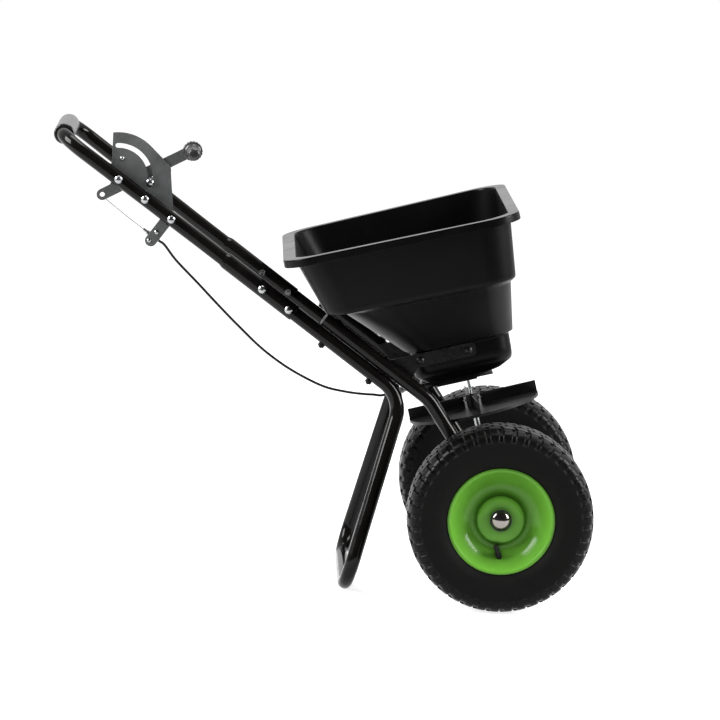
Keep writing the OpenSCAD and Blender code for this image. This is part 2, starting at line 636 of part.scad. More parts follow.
// the wire from the lever's tail to the adjuster
module inner_wire() color([0.65, 0.66, 0.68]) machine() {
    hook = from_lever(hook_at[0], lever_y + lever_t + face + wire_d, hook_at[1]);
    swept([hook, from_lever(hook_at[0] + 12, lever_y + lever_t + face + wire_d, hook_at[1] - 0.2),
        from_lever(60, cable_y + 0.4, -wire_n), from_lever(tab_l + 12, cable_y, -wire_n)],
        wire_d, 8, unit(from_lever(tab_l + 20, cable_y, -wire_n) - from_lever(tab_l + 12, cable_y, -wire_n)));
    straight(from_lever(hook_at[0], lever_y - 1.2, hook_at[1]), hook, wire_d);
}

// Hopper, drawn as rings from the bottom up the outside and down the inside

// each ring: height, rear, front, half width at the rear and at the front, corner radius
function ring(w, rear, front, hr, hf, r) = let (k = 6) concat(
    [for (i = [0 : k]) [front - r + r * cos(90 * i / k), hf - r + r * sin(90 * i / k), w]],
    [for (i = [0 : k]) [rear + r - r * sin(90 * i / k), hr - r + r * cos(90 * i / k), w]],
    [for (i = [0 : k]) [rear + r - r * cos(90 * i / k), -hr + r - r * sin(90 * i / k), w]],
    [for (i = [0 : k]) [front - r + r * sin(90 * i / k), -hf + r - r * cos(90 * i / k), w]]);
function inset(q, g, dw) = ring(q[0] + dw, q[1] + g, q[2] - g, q[3] - g, q[4] - g, q[5] - g * 0.6);

mouth_rear = -rim_rear + flange_w + wall;
mouth_front = rim_front - flange_w;
hopper_walls = [
    [bottom_w, -60, 18, 58, 58, 24],
    [bottom_w + low_h * 0.14, -76, 62, throat_half * 0.72, throat_half * 0.72, 28],
    [bottom_w + low_h * 0.33, -92, 84, throat_half - 8, throat_half - 8, 32],
    [bottom_w + low_h * 0.44, -93, 86, throat_half - 2, throat_half - 2, 32],
    [bottom_w + low_h * 0.575, -93, 87, throat_half, throat_half, 32],
    [step_low_w - 2, -92, 88, throat_half, throat_half, 32],
    [step_low_w + 2, -102, 96, throat_half + 12, throat_half + 12, 36],
    [under_step_w, rear_high, 108, 192, 232, 42],
    [under_step_w + step_out * step_rise, rear_high - step_out, 118, 217, 252, 48],
    [rim_w - wall, mouth_rear, mouth_front, rim_half_rear - flange_w, rim_half_front - flange_w, 52]];
rim_edge = [rim_w - lip_h, -rim_rear, rim_front, rim_half_rear, rim_half_front, 55];
hopper_rings = concat(
    [for (q = hopper_walls) inset(q, 0, 0)],
    [inset(rim_edge, wall, lip_h - wall), inset(rim_edge, wall, 0), inset(rim_edge, 0, 0),
        inset(rim_edge, 0, lip_h - 2), inset(rim_edge, 2, lip_h)],
    [inset(hopper_walls[9], wall - 2, wall), inset(hopper_walls[9], wall, wall - 2)],
    [for (i = [8 : -1 : 0]) inset(hopper_walls[i], wall, i == 0 || i == 1 ? wall : i == 7 ? wall * 0.7 : wall * 0.8)]);

module lofted(rings) {
    n = len(rings[0]);
    m = len(rings) - 1;
    pts = [for (r = rings) for (p = r) p];
    walls = [for (i = [0 : m - 1]) for (k = [0 : n - 1])
        [i * n + k, i * n + (k + 1) % n, (i + 1) * n + (k + 1) % n, (i + 1) * n + k]];
    triangles = [for (q = walls) for (h = [0, 1]) h == 0 ? [q[0], q[2], q[1]] : [q[0], q[3], q[2]]];
    polyhedron(points = pts, faces = concat(triangles,
        [[for (k = [0 : n - 1]) k]], [[for (k = [n - 1 : -1 : 0]) m * n + k]]));
}

module hopper() color([0.05, 0.05, 0.052]) in_hopper() difference() {
    union() {
        lofted(hopper_rings);
        for (k = [0, 1]) for (side = [-1, 1]) translate([hopper_bolts_u[k], side * (throat_half - run), hopper_bolt_w])
            rotate([side * 90, 0, 0]) cylinder(h = hopper_pads[k], d = 22);
    }
    for (u = hopper_bolts_u) translate([u, 0, hopper_bolt_w]) along_y(-throat_half - 10, throat_half + 10, bolt_d + 2 * run);
    translate([0, 0, bottom_w - 5]) cylinder(h = 20, d = bush_out_d + 2 * run);
    outlets(bottom_w - 5, 20);
}
bush_out_d = 14;
module outlets(w, h) for (side = [-1, 1]) translate([-outlet_back, side * outlet_side, w]) cylinder(h = h, d = outlet_d);

// plates welded inside the chassis tubes, with the hopper bolted to them
module bracket(side) in_hopper() translate([0, side > 0 ? bracket_out : -bracket_out + bracket_t, 0]) rotate([90, 0, 0])
    linear_extrude(bracket_t) difference() {
        translate([0, hopper_bolt_w]) polygon([[reach_at(hopper_bolt_w + 12.2, lap_n) - 1, 12.2],
            [hopper_bolts_u[1] + 10, 12.2], [hopper_bolts_u[1] + 14, 8.2], [hopper_bolts_u[1] + 14, -7.8],
            [hopper_bolts_u[1] + 10, -11.8], [hopper_bolts_u[0] - 6.5, -11.8],
            [reach_at(hopper_bolt_w - 39.8, lap_n) - 8, -39.8],
            [reach_at(hopper_bolt_w - 23.8, lap_n) - 10.7, -23.8]]);
        for (u = hopper_bolts_u) translate([u, hopper_bolt_w]) circle(d = bolt_d + 2 * run);
    }
module hopper_bracket_right() color([0.05, 0.05, 0.055]) bracket(-1);
module hopper_bracket_left() color([0.05, 0.05, 0.055]) bracket(1);

module hopper_bolts() color([0.75, 0.76, 0.78]) in_hopper() for (side = [-1, 1]) for (k = [0, 1])
    translate([hopper_bolts_u[k], side * (bracket_out + seat), hopper_bolt_w]) rotate([side * 90, 0, 0])
        bolt_and_nut(bracket_out - throat_half + hopper_pads[k] + 2 * seat);

// Floor plate, shutter and its anchor

module floor_plate() color([0.55, 0.56, 0.58]) in_hopper() translate([0, 0, floor_w]) difference() {
    translate([-94, -52, 0]) union() {
        translate([34, 0, 0]) cube([78, 104, floor_t]);
        translate([0, 40, 0]) cube([40, 24, floor_t]);
    }
    translate([0, 0, -1]) cylinder(h = 5, d = bush_out_d + 2 * run);
    outlets(-1, 5);
}

guide_gap = 0.2;
module shutter_guides() color([0.55, 0.56, 0.58]) in_hopper() for (side = [-1, 1]) mirror([0, side < 0 ? 1 : 0, 0]) {
    translate([-58, shutter_half + guide_gap, shutter_w - face]) cube([74, 6, shutter_t + 2 * face]);
    translate([-58, shutter_half - 5, shutter_w - face - 1.5]) cube([74, 11 + guide_gap, 1.5]);
}

module shutter() color([0.62, 0.63, 0.65]) in_hopper() translate([0, 0, shutter_w]) difference() {
    union() {
        translate([-75, -shutter_half, 0]) cube([121, 2 * shutter_half, shutter_t]);
        translate([tail_u + 4, -8, 0]) cube([16, 16, shutter_t]);
        translate([tail_u, -5, wire_w - shutter_w - 2.6]) cube([11, 10, shutter_w - wire_w + 2.6 + shutter_t]);
    }
    slot_r0 = thin_shaft_d / 2 + 1.2;
    for (u = [-shutter_travel, 0]) translate([u, 0, -1]) cylinder(h = 5, r = slot_r0);
    translate([-shutter_travel, -slot_r0, -1]) cube([shutter_travel, 2 * slot_r0, 5]);
    outlets(-1, 5);
    translate([tail_u - 1, 0, wire_w - shutter_w]) rotate([0, 90, 0]) cylinder(h = 10, d = wire_d + 2 * run);
}
module shutter_wire() color([0.65, 0.66, 0.68]) in_hopper()
    translate([ferrule_u - 18, 0, wire_w]) rotate([0, 90, 0]) cylinder(h = tail_u + 9 - ferrule_u + 18, d = wire_d, $fn = 32);

// bracket behind the floor plate, with an ear that holds the end of the outer cable
module cable_anchor() color([0.66, 0.68, 0.64]) in_hopper() {
    translate([anchor_u, -9, bottom_w]) cube([anchor_l - 4, 18, 2]);
    difference() {
        translate([anchor_u - 2, -9, wire_w - 8]) cube([2.5, 18, bottom_w + 2 - wire_w + 8]);
        translate([anchor_u - 5, 0, wire_w]) rotate([0, 90, 0]) cylinder(h = 8, d = 6 + 2 * run);
    }
    translate([-80, 0, bottom_w + 2]) cylinder(h = 5, d = 10, $fn = 6);
}
anchor_l = 58;
module cable_ferrule() color([0.5, 0.51, 0.52]) in_hopper() translate([ferrule_u, 0, wire_w]) rotate([0, 90, 0]) difference() {
    union() {
        cylinder(h = 20, d = 6);
        cylinder(h = anchor_u - 2 - seat - ferrule_u, d = 9, $fn = 6);
        translate([0, 0, anchor_u + 0.5 + seat - ferrule_u]) cylinder(h = 4, d = 9, $fn = 6);
    }
    translate([0, 0, -1]) cylinder(h = 22, d = wire_d + 0.8);
}
module shaft_bush() color([0.8, 0.8, 0.78]) in_hopper() difference() {
    union() {
        translate([0, 0, floor_w]) cylinder(h = floor_t + wall + 2, d = bush_out_d);
        translate([0, 0, bottom_w + wall + 0.05]) cylinder(h = 2.5, d = bush_out_d + 8);
    }
    translate([0, 0, floor_w - 1]) cylinder(h = 12, d = thin_shaft_d + 2 * run);
}

// Gear case, in two halves that meet in the machine's middle plane

crown_y = pinion_r + 3;
case_l0 = -pinion_r - 4.5 - case_t;
case_l1 = crown_y + 13 + case_t;
module case_whole() in_hopper() difference() {
    union() {
        along_y(case_l0, case_l1, 2 * (case_in_r + case_t));
        along_y(case_l0 - 5, case_l1 + 5, axle_d + 10);
        translate([0, 0, case_in_r - 4]) cylinder(h = 52, d = shaft_d + 14);
        for (a = [45 : 90 : 315]) rotate([0, a, 0]) translate([0, 0, screw_r]) along_y(-8, 8, 12);
    }
    along_y(case_l0 + case_t, case_l1 - case_t, 2 * case_in_r);
    along_y(case_l0 - 10, case_l1 + 10, axle_d + 2 * run);
    translate([0, 0, case_in_r - 6]) cylinder(h = 60, d = shaft_d + 2 * run);
    translate([0, 0, case_in_r - 6]) cylinder(h = 10.1, d = 20);
    for (a = [45 : 90 : 315]) rotate([0, a, 0]) translate([0, 0, screw_r]) along_y(-9, 9, 4 + 2 * run);
}
module case_right() color([0.12, 0.12, 0.12]) intersection() {
    case_whole();
    at_axle() translate([-150, -100, -100]) cube([300, 100, 300]);
}
module case_left() color([0.12, 0.12, 0.12]) intersection() {
    case_whole();
    at_axle() translate([-150, 0, -100]) cube([300, 100, 300]);
}
module case_screws() color([0.75, 0.76, 0.78]) in_hopper() for (a = [45 : 90 : 315])
    rotate([0, a, 0]) translate([0, -8 - seat, screw_r]) rotate([-90, 0, 0]) {
        mirror([0, 0, 1]) dome(8, 2.5);
        cylinder(h = 20, d = 4);
        translate([0, 0, 16 + 2 * seat]) cylinder(h = 3, d = 8, $fn = 6);
    }

// Axle and what turns with it

module axle_bush(side) at_axle() difference() {
    union() {
        translate([0, side * tube_half, 0]) along_y(-bearing_l / 2, bearing_l / 2, bush_d);
        translate([0, side * (tube_half + bearing_l / 2 + bush_flange / 2), 0]) along_y(-bush_flange / 2, bush_flange / 2, bush_d + 5);
    }
    translate([0, side * tube_half, 0]) along_y(-bearing_l, bearing_l, axle_d + 2 * run);
}
module axle_bush_right() color([0.8, 0.8, 0.78]) axle_bush(-1);
module axle_bush_left() color([0.8, 0.8, 0.78]) axle_bush(1);

drive_y = -wheel_y + hub_half_w - 9;
gear_pin_y = crown_y + 9;
module axle() color([0.7, 0.71, 0.73]) at_axle() difference() {
    along_y(-wheel_y - hub_half_w - 6, wheel_y + hub_half_w + 6, axle_d);
    translate([0, drive_y, -20]) cylinder(h = 40, d = pin_d + 2 * run);
    translate([0, gear_pin_y, -20]) cylinder(h = 40, d = pin_d + 2 * run);
}
module drive_pin() color([0.75, 0.76, 0.78]) at_axle() translate([0, drive_y, -hub_d / 2 + 1]) cylinder(h = hub_d - 2, d = pin_d);
module gear_pin() color([0.75, 0.76, 0.78]) at_axle() translate([0, gear_pin_y, -13]) cylinder(h = 26, d = pin_d);

pitch = 2 * PI * pinion_r / pinion_teeth;
crown_r = pinion_r * crown_teeth / pinion_teeth;
module crown_gear() color([0.75, 0.75, 0.72]) in_hopper() difference() {
    union() {
        along_y(crown_y, crown_y + 4, 2 * crown_r + 8);
        along_y(crown_y, crown_y + 12.5, axle_d + 12);
        for (k = [0 : crown_teeth - 1]) rotate([0, k * 360 / crown_teeth, 0]) translate([0, 0, crown_r - 3])
            linear_extrude(6) polygon([[-pitch * 0.19, crown_y + 1], [-pitch * 0.11, crown_y - 5.4],
                [pitch * 0.11, crown_y - 5.4], [pitch * 0.19, crown_y + 1]]);
    }
    along_y(0, 60, axle_d + 2 * run);
    rotate([0, hopper_tilt, 0]) translate([0, gear_pin_y, -20]) cylinder(h = 40, d = pin_d + 2 * run);
}

module spacer(side) at_axle() difference() {
    a = tube_half + bearing_l / 2 + bush_flange + face;
    b = wheel_y - hub_half_w - face;
    translate([0, side > 0 ? a : -b, 0]) along_y(0, b - a, axle_d + 7);
    along_y(-wheel_y, wheel_y, axle_d + 2 * run);
}
module spacer_right() color([0.35, 0.36, 0.37]) spacer(-1);
module spacer_left() color([0.35, 0.36, 0.37]) spacer(1);

module hub_washers() color([0.12, 0.12, 0.13]) {
    wheel_right() hub_washer();
    wheel_left() hub_washer();
}
module hub_washer() translate([0, 0, hub_half_w + face]) difference() {
    cylinder(h = 1.5, d = hub_d - 1);
    translate([0, 0, -1]) cylinder(h = 4, d = axle_d + 2 * run);
}
module hub_caps() color([0.85, 0.86, 0.88]) {
    wheel_right() hub_cap();
    wheel_left() hub_cap();
}
module hub_cap() translate([0, 0, hub_half_w + face + 1.5]) difference() {
    union() {
        cylinder(h = 2, d = cap_d);
        translate([0, 0, 2]) dome(cap_d, cap_h - 2);
    }
    translate([0, 0, -1]) cylinder(h = 1 + 5, d = axle_d + 2 * run);
}

// Wheels, drawn with +Z pointing outboard from the middle plane

function dish(t, drop) = [valley_d / 2 + (rim_r - 7 - valley_d / 2) * t,
    valley_y - drop + (rim_half_w - 1.5 - valley_y) * pow(t, 1.7)];
module rim_half() rotate_extrude($fn = 128) polygon(concat(
    [[rim_r, rim_half_w - 1], [rim_r, rim_half_w - 3.2], [rim_r - 5.5, rim_half_w - 4],
        [rim_r - 7.5, rim_half_w - 5.5], [seat_r, rim_half_w - 8], [seat_r, 0.05], [seat_r - rim_t, 0.05],
        [seat_r - rim_t, dish(0.84, rim_t)[1]]],
    [for (t = [0.8 : -0.1 : 0.0]) dish(t, rim_t + 0.8)],
    [[boss_d / 2 + 2.5, valley_y - rim_t], [boss_d / 2 - 0.5, valley_y + boss_h * 0.3],
        [boss_d / 2 - 2.5, boss_y - rim_t - 1.5], [boss_d / 2 - 7, boss_y - rim_t],
        [hub_bore / 2 + 4, boss_y - rim_t], [hub_bore / 2 + 4, 0.05], [hub_bore / 2, 0.05],
        [hub_bore / 2, hub_half_w], [hub_d / 2 - 1, hub_half_w], [hub_d / 2, hub_half_w - 1],
        [hub_d / 2, boss_y], [boss_d / 2 - 6, boss_y], [boss_d / 2 - 2, boss_y - 1],
        [boss_d / 2, boss_y - 3], [boss_d / 2 + 2, valley_y + boss_h * 0.35],
        [boss_d / 2 + 5, valley_y + 0.6]],
    [for (t = [0 : 0.1 : 1.0]) dish(t, 0)],
    [[rim_r - 3.5, rim_half_w]]));
module drive_hole(d) at_axle() translate([0, drive_y, -30]) cylinder(h = 60, d = d);

module rim_outer_right() color([0.2, 0.5, 0.09]) difference() {
    wheel_right() rim_half();
    wheel_right() valve_hole();
}
module rim_inner_right() color([0.2, 0.5, 0.09]) difference() {
    wheel_right() mirror([0, 0, 1]) rim_half();
    drive_hole(pin_d + 2 * run);
}
module rim_outer_left() color([0.2, 0.5, 0.09]) difference() {
    wheel_left() rim_half();
    wheel_left() valve_hole();
}
module rim_inner_left() color([0.2, 0.5, 0.09]) wheel_left() mirror([0, 0, 1]) rim_half();

module hub_bush(l) difference() {
    cylinder(h = l, d = hub_bore - 2 * run, center = true);
    cylinder(h = l + 2, d = axle_d + 2 * run, center = true);
}
module hub_bush_right() color([0.8, 0.8, 0.78]) difference() {
    wheel_right() hub_bush(2 * hub_half_w);
    drive_hole(pin_d + 2 * run);
}
module hub_bush_left() color([0.8, 0.8, 0.78]) wheel_left() hub_bush(2 * hub_half_w);

// the rubber, in half: the outside from the bead to the crown, then the inside back
tyre_half = tyre_w / 2;
tyre_out = [[seat_r + seat, rim_half_w - 22], [seat_r + seat, rim_half_w - 8.2], [rim_r - 7.4, rim_half_w - 5.7],
    [rim_r - 5.4, rim_half_w - 4.2], [rim_r + 0.6, rim_half_w - 3.4], [rim_r + 1.5, rim_half_w + 1],
    [rim_r + 6, rim_half_w + 5], [rim_r + 13, tyre_half - 3.6], [rim_r + 22, tyre_half - 1.1],
    [rim_r + 33, tyre_half], [tyre_r - 24, tyre_half - 0.8], [tyre_r - 14, tyre_half - 3.8],
    [tyre_r - 8.5, tyre_half - 7.5], [tyre_r - 5, tyre_half - 13], [tyre_r - 2, tyre_half - 24],
    [tyre_r - 0.5, tyre_half - 42]];
tyre_in = [[tyre_r - tyre_wall - 0.6, tyre_half - 42], [tyre_r - tyre_wall - 2.5, tyre_half - 26],
    [tyre_r - tyre_wall - 7, tyre_half - 16], [tyre_r - tyre_wall - 16, tyre_half - tyre_wall - 2],
    [rim_r + 33, tyre_half - tyre_wall], [rim_r + 22, tyre_half - tyre_wall - 1.6],
    [rim_r + 12, tyre_half - tyre_wall - 7], [rim_r + 4, rim_half_w - 10], [rim_r - 2, rim_half_w - 18]];
module tyre_part(h) rotate_extrude($fn = 128) polygon(concat(
    tyre_out, [[tyre_r, 0]], [for (i = [len(tyre_out) - 1 : -1 : 0]) [tyre_out[i][0], -tyre_out[i][1]]],
    [for (i = [len(tyre_in) - 1 : -1 : 0]) [tyre_in[i][0], -tyre_in[i][1]]], [[tyre_r - tyre_wall, 0]], tyre_in));
module tyre_shape() difference() {
    tyre_part();
    for (k = [0 : lugs - 1]) rotate((k + 0.5) * 360 / lugs) for (up = [-1, 1])
        translate([tyre_r - 6, -notch_w / 2, up > 0 ? tyre_half - notch_l + 3 : -tyre_half - 3])
            rotate([0, up * 12, 0]) cube([notch_h + 10, notch_w, notch_l]);
}
module tyre_right() color([0.05, 0.05, 0.05]) wheel_right() tyre_shape();
module tyre_left() color([0.05, 0.05, 0.05]) wheel_left() tyre_shape();

// the valve stands in the dish under the hub and leans out and toward the hub
valve_r = 67;
valve_base = [2, -valve_r, dish((valve_r - valley_d / 2) / (rim_r - 7 - valley_d / 2), 0)[1]];
valve_dir = unit([-8, 22, 12]);
valve_stem_d = 8;
module valve_hole() straight(valve_base - 11 * valve_dir, valve_base + 14 * valve_dir, valve_stem_d + 2 * run);
module valve() {
    straight(valve_base - 9 * valve_dir, valve_base + 17 * valve_dir, valve_stem_d);
    straight(valve_base + 16.5 * valve_dir, valve_base + 26 * valve_dir, 6.6);
}
module valve_right() color([0.03, 0.03, 0.03]) wheel_right() valve();
module valve_left() color([0.03, 0.03, 0.03]) wheel_left() valve();

// Spinner

pinion_w = crown_r - 4.5;
module spinner_shaft() color([0.75, 0.77, 0.78]) in_hopper() difference() {
    union() {
        translate([0, 0, pinion_w]) cylinder(h = disc_w + vane_h - pinion_w, d = shaft_d);
        translate([0, 0, disc_w]) cylinder(h = bottom_w + 34 - disc_w, d = thin_shaft_d);
    }
    spinner_pin_at() cylinder(h = 40, d = 4 + 2 * run, center = true);
    agitator_at() cylinder(h = 40, d = 3 + 2 * run, center = true);
    pinion_pin_at() cylinder(h = 40, d = 2.5 + 2 * run, center = true);
}
module spinner_pin_at() translate([0, 0, disc_w + 12]) rotate([0, 90, 0]) children();
module pinion_pin_at() translate([0, 0, pinion_w + 11.5]) rotate([0, 90, 0]) children();
module agitator_at() translate([0, 0, bottom_w + 24]) rotate([90, 0, 0]) children();

module pinion() color([0.75, 0.75, 0.72]) in_hopper() difference() {
    union() {
        translate([0, 0, pinion_w]) linear_extrude(9) {
            circle(r = pinion_r - 3.2);
            for (k = [0 : pinion_teeth - 1]) rotate(90 + (k + 0.5) * 360 / pinion_teeth)
                polygon([[0, -pitch * 0.21], [pinion_r - 3, -pitch * 0.21], [pinion_r + 2.4, -pitch * 0.11],
                    [pinion_r + 2.4, pitch * 0.11], [pinion_r - 3, pitch * 0.21], [0, pitch * 0.21]]);
        }
        translate([0, 0, pinion_w]) cylinder(h = 14, d = 18);
    }
    translate([0, 0, pinion_w - 1]) cylinder(h = 20, d = shaft_d + 2 * run);
    pinion_pin_at() cylinder(h = 40, d = 2.5 + 2 * run, center = true);
}
module pinion_pin() color([0.75, 0.76, 0.78]) in_hopper() pinion_pin_at() cylinder(h = 17, d = 2.5, center = true);

module spinner_disc() color([0.10, 0.10, 0.105]) in_hopper() difference() {
    union() {
        translate([0, 0, disc_w - disc_t]) cylinder(h = disc_t, d = disc_d, $fn = 128);
        translate([0, 0, disc_w - disc_lip]) difference() {
            cylinder(h = disc_lip, d = disc_d, $fn = 128);
            translate([0, 0, -1]) cylinder(h = disc_lip + 2, d = disc_d - 4, $fn = 128);
        }
        translate([0, 0, disc_w - 12]) cylinder(h = 12 + vane_h + 2, d = spinner_hub_d);
        for (k = [0 : vanes - 1]) rotate(vane_turn + k * 360 / vanes)
            translate([spinner_hub_d / 2 + 4, -vane_t / 2, disc_w - 1]) cube([disc_d / 2 - spinner_hub_d / 2 - 4.6, vane_t, vane_h + 1]);
    }
    translate([0, 0, disc_w - 20]) cylinder(h = 80, d = shaft_d + 2 * run);
    spinner_pin_at() cylinder(h = 40, d = 4 + 2 * run, center = true);
}
module spinner_pin() color([0.75, 0.76, 0.78]) in_hopper() spinner_pin_at() cylinder(h = spinner_hub_d + 4, d = 4, center = true);
module shaft_clip() color([0.6, 0.61, 0.63]) in_hopper() translate([0, 0, shutter_w - 6]) difference() {
    cylinder(h = 1.5, d = 13);
    translate([0, 0, -1]) cylinder(h = 4, d = thin_shaft_d + 2 * run);
}
module agitator() color([0.65, 0.66, 0.68]) in_hopper() agitator_at() cylinder(h = 84, d = 3, center = true);

handlebar();
grip();
stand_tube();
chassis_tube_right();
chassis_tube_left();
tube_plugs();
frame_bolts();
socket_bolts();
quadrant_plate();
plate_bolts();
stop_bolt();
plate_rivets();
cable_clamp();
cable_adjuster();
outer_cable();
inner_wire();
control_lever();
lever_knob();
knob_screw();
hopper();
hopper_bracket_right();
hopper_bracket_left();
hopper_bolts();
floor_plate();
shutter_guides();
cable_anchor();
cable_ferrule();
shaft_bush();
shutter();
shutter_wire();
case_right();
case_left();
case_screws();
axle_bush_right();
axle_bush_left();
axle();
crown_gear();
gear_pin();
spacer_right();
spacer_left();
hub_washers();
hub_caps();
drive_pin();
rim_outer_right();
rim_inner_right();
hub_bush_right();
tyre_right();
valve_right();
rim_outer_left();
rim_inner_left();
hub_bush_left();
tyre_left();
valve_left();
spinner_shaft();
pinion();
pinion_pin();
spinner_disc();
spinner_pin();
shaft_clip();
agitator();
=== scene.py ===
"""Walk-behind fertilizer spreader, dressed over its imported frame.

Places are worked out in millimetres, in the axes that the CAD uses, and become metres in the row frame
as soon as they are points.
"""

import json
import math

import bmesh
import bpy
from mathutils import Matrix, Vector


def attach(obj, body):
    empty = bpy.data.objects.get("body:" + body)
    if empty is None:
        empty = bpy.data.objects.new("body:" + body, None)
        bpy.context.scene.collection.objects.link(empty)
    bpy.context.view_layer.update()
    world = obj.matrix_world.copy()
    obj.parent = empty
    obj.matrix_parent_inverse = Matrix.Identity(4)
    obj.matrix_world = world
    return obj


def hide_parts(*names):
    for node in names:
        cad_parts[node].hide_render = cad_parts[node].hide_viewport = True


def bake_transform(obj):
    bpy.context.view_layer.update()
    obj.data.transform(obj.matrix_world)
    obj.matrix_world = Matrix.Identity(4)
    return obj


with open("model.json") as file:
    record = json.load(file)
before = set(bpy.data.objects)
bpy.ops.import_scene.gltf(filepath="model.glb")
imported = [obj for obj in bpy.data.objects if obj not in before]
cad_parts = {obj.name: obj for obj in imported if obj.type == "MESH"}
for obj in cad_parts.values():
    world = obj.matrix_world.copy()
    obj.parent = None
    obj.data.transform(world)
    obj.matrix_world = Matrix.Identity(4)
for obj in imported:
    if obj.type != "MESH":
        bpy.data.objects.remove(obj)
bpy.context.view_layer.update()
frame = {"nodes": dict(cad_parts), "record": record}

# ------------------------------------------------------------------ sizes, in millimetres

AXLE_Z = 165.0
MID_X = 333.284  # how far the axle lies ahead of the row frame's origin
HOPPER_TILT = math.radians(16.4)
SLOPE = math.radians(34)
CORNER_BACK, CORNER_UP = 183.0, 352.5  # the stand's corner, behind the axle and above the floor
TUBE_HALF, BAR_HALF = 130.0, 155.0  # from the middle plane to a handle tube, and to it at the bar
KINK_S, BAR_S = 456.0, 760.0  # places along a handle tube, from the stand's corner, end in S
TAPER = math.atan((BAR_HALF - TUBE_HALF) / (BAR_S - KINK_S))
TUBE_R = 12.7
SOCKET_S, SOCKET_L, SOCKET_R = 244.0, 153.0, 14.8
PLUG_S = 339.0
LAP_N = 25.7  # how far above the middle of a handle tube the chassis tube's middle lies
CHASSIS_S = 196.0
LEVER_S = 637.5
WHEEL_Y = 230.0
BASE_W = 228.0  # the hopper's floor, along its own upright


def machine(x, y, z):
    """A point of the machine, in the row frame."""
    return Vector(((x + MID_X) / 1000, y / 1000, z / 1000))


def from_hopper(u, v, w):
    """A point given along the hopper's own axes."""
    c, s = math.cos(HOPPER_TILT), math.sin(HOPPER_TILT)
    return machine(u * c - w * s, v, AXLE_Z + u * s + w * c)


def on_handle(s, n, side):
    """A point s along a handle tube from the stand's corner and n above its middle."""
    half = TUBE_HALF + max(0.0, s - KINK_S) * math.tan(TAPER)
    return machine(
        -CORNER_BACK - s * math.cos(SLOPE) + n * math.sin(SLOPE),
        side * half,
        CORNER_UP + s * math.sin(SLOPE) + n * math.cos(SLOPE),
    )


def from_lever(x, y, n):
    """A point given at the lever's pivot: x down the tube, y to the middle, n across the tube."""
    a = x * math.cos(TAPER) - y * math.sin(TAPER)
    b = x * math.sin(TAPER) + y * math.cos(TAPER)
    place = Vector((a * math.cos(SLOPE) + n * math.sin(SLOPE), b, -a * math.sin(SLOPE) + n * math.cos(SLOPE)))
    return on_handle(LEVER_S, 0, -1) + place / 1000


def at_wheel(side, x, y, z):
    """A point of a wheel: z outboard from its middle plane."""
    return machine(x, side * (WHEEL_Y + z), AXLE_Z - side * y)


# ------------------------------------------------------------------ materials

PATCH_DETAIL, PATCH_ROUGHNESS = 5.0, 0.6
PATCH_DARK, PATCH_LIGHT = 0.3, 0.72  # the noise where a patch is darkest and lightest
PATCH_GLOSSY, PATCH_MATT = 0.3, 0.7  # and where it is glossiest and most matt
LEAST_ROUGHNESS = 0.02
GRAIN_DETAIL, GRAIN_STRENGTH = 3.0, 0.6
EDGE_BEGIN, EDGE_FULL, EDGE_MOST = 0.53, 0.6, 0.8  # where wear begins and is full, and its share there
# painted shade: how far ambient occlusion looks for other surfaces, its samples, and the readings at which a colour is
# darkest and still untouched
PAINTED_SHADE_REACH, PAINTED_SHADE_SAMPLES = 0.05, 8
PAINTED_SHADE_CLOSED, PAINTED_SHADE_OPEN = 0.4, 0.97


def node(tree, kind, **settings):
    """A new node of a tree, with its inputs and properties set by name."""
    n = tree.nodes.new(kind)
    for key, value in settings.items():
        if key in n.inputs:
            n.inputs[key].default_value = value
        else:
            setattr(n, key, value)
    return n


def map_range(tree, source, begin, full, low, high, **settings):
    """The source, taken from between begin and full to between low and high."""
    ranged = node(tree, "ShaderNodeMapRange", **settings)
    for key, value in (("From Min", begin), ("From Max", full), ("To Min", low), ("To Max", high)):
        ranged.inputs[key].default_value = value
    tree.links.new(source, ranged.inputs["Value"])
    return ranged.outputs[0]


def math_of(tree, operation, first, second):
    """Two sources joined by a Math node."""
    n = node(tree, "ShaderNodeMath", operation=operation)
    tree.links.new(first, n.inputs[0])
    tree.links.new(second, n.inputs[1])
    return n.outputs[0]


def zone_change(tree, place, measure, begin, full, change):
    """0 up to the place where the zone begins and change where it is full: far from the axle, or up the hopper."""
    centre = machine(0, 0, AXLE_Z)
    shifted = node(tree, "ShaderNodeVectorMath", operation="SUBTRACT")
    shifted.inputs[1].default_value = centre
    tree.links.new(place, shifted.inputs[0])
    if measure == "axle":
        flat = node(tree, "ShaderNodeVectorMath", operation="MULTIPLY")
        flat.inputs[1].default_value = (1, 0, 1)
        tree.links.new(shifted.outputs[0], flat.inputs[0])
        distance = node(tree, "ShaderNodeVectorMath", operation="LENGTH")
        tree.links.new(flat.outputs["Vector"], distance.inputs[0])
    else:
        distance = node(tree, "ShaderNodeVectorMath", operation="DOT_PRODUCT")
        distance.inputs[1].default_value = from_hopper(0, 0, 1000) - centre
        tree.links.new(shifted.outputs[0], distance.inputs[0])
    return map_range(tree, distance.outputs["Value"], begin, full, 0.0, change)


def with_wear(tree, colour, patches, wear):
    """The colour, with that of wear along the outer edges, more in some patches than in others."""
    edge = node(tree, "ShaderNodeNewGeometry")
    picked = map_range(tree, edge.outputs["Pointiness"], EDGE_BEGIN, EDGE_FULL, 0.0, EDGE_MOST)
    mixed = node(tree, "ShaderNodeMix", data_type="RGBA")
    mixed.inputs["B"].default_value = (*wear, 1)
    tree.links.new(math_of(tree, "MULTIPLY", picked, patches), mixed.inputs["Factor"])
    tree.links.new(colour, mixed.inputs["A"])
    return mixed.outputs["Result"]


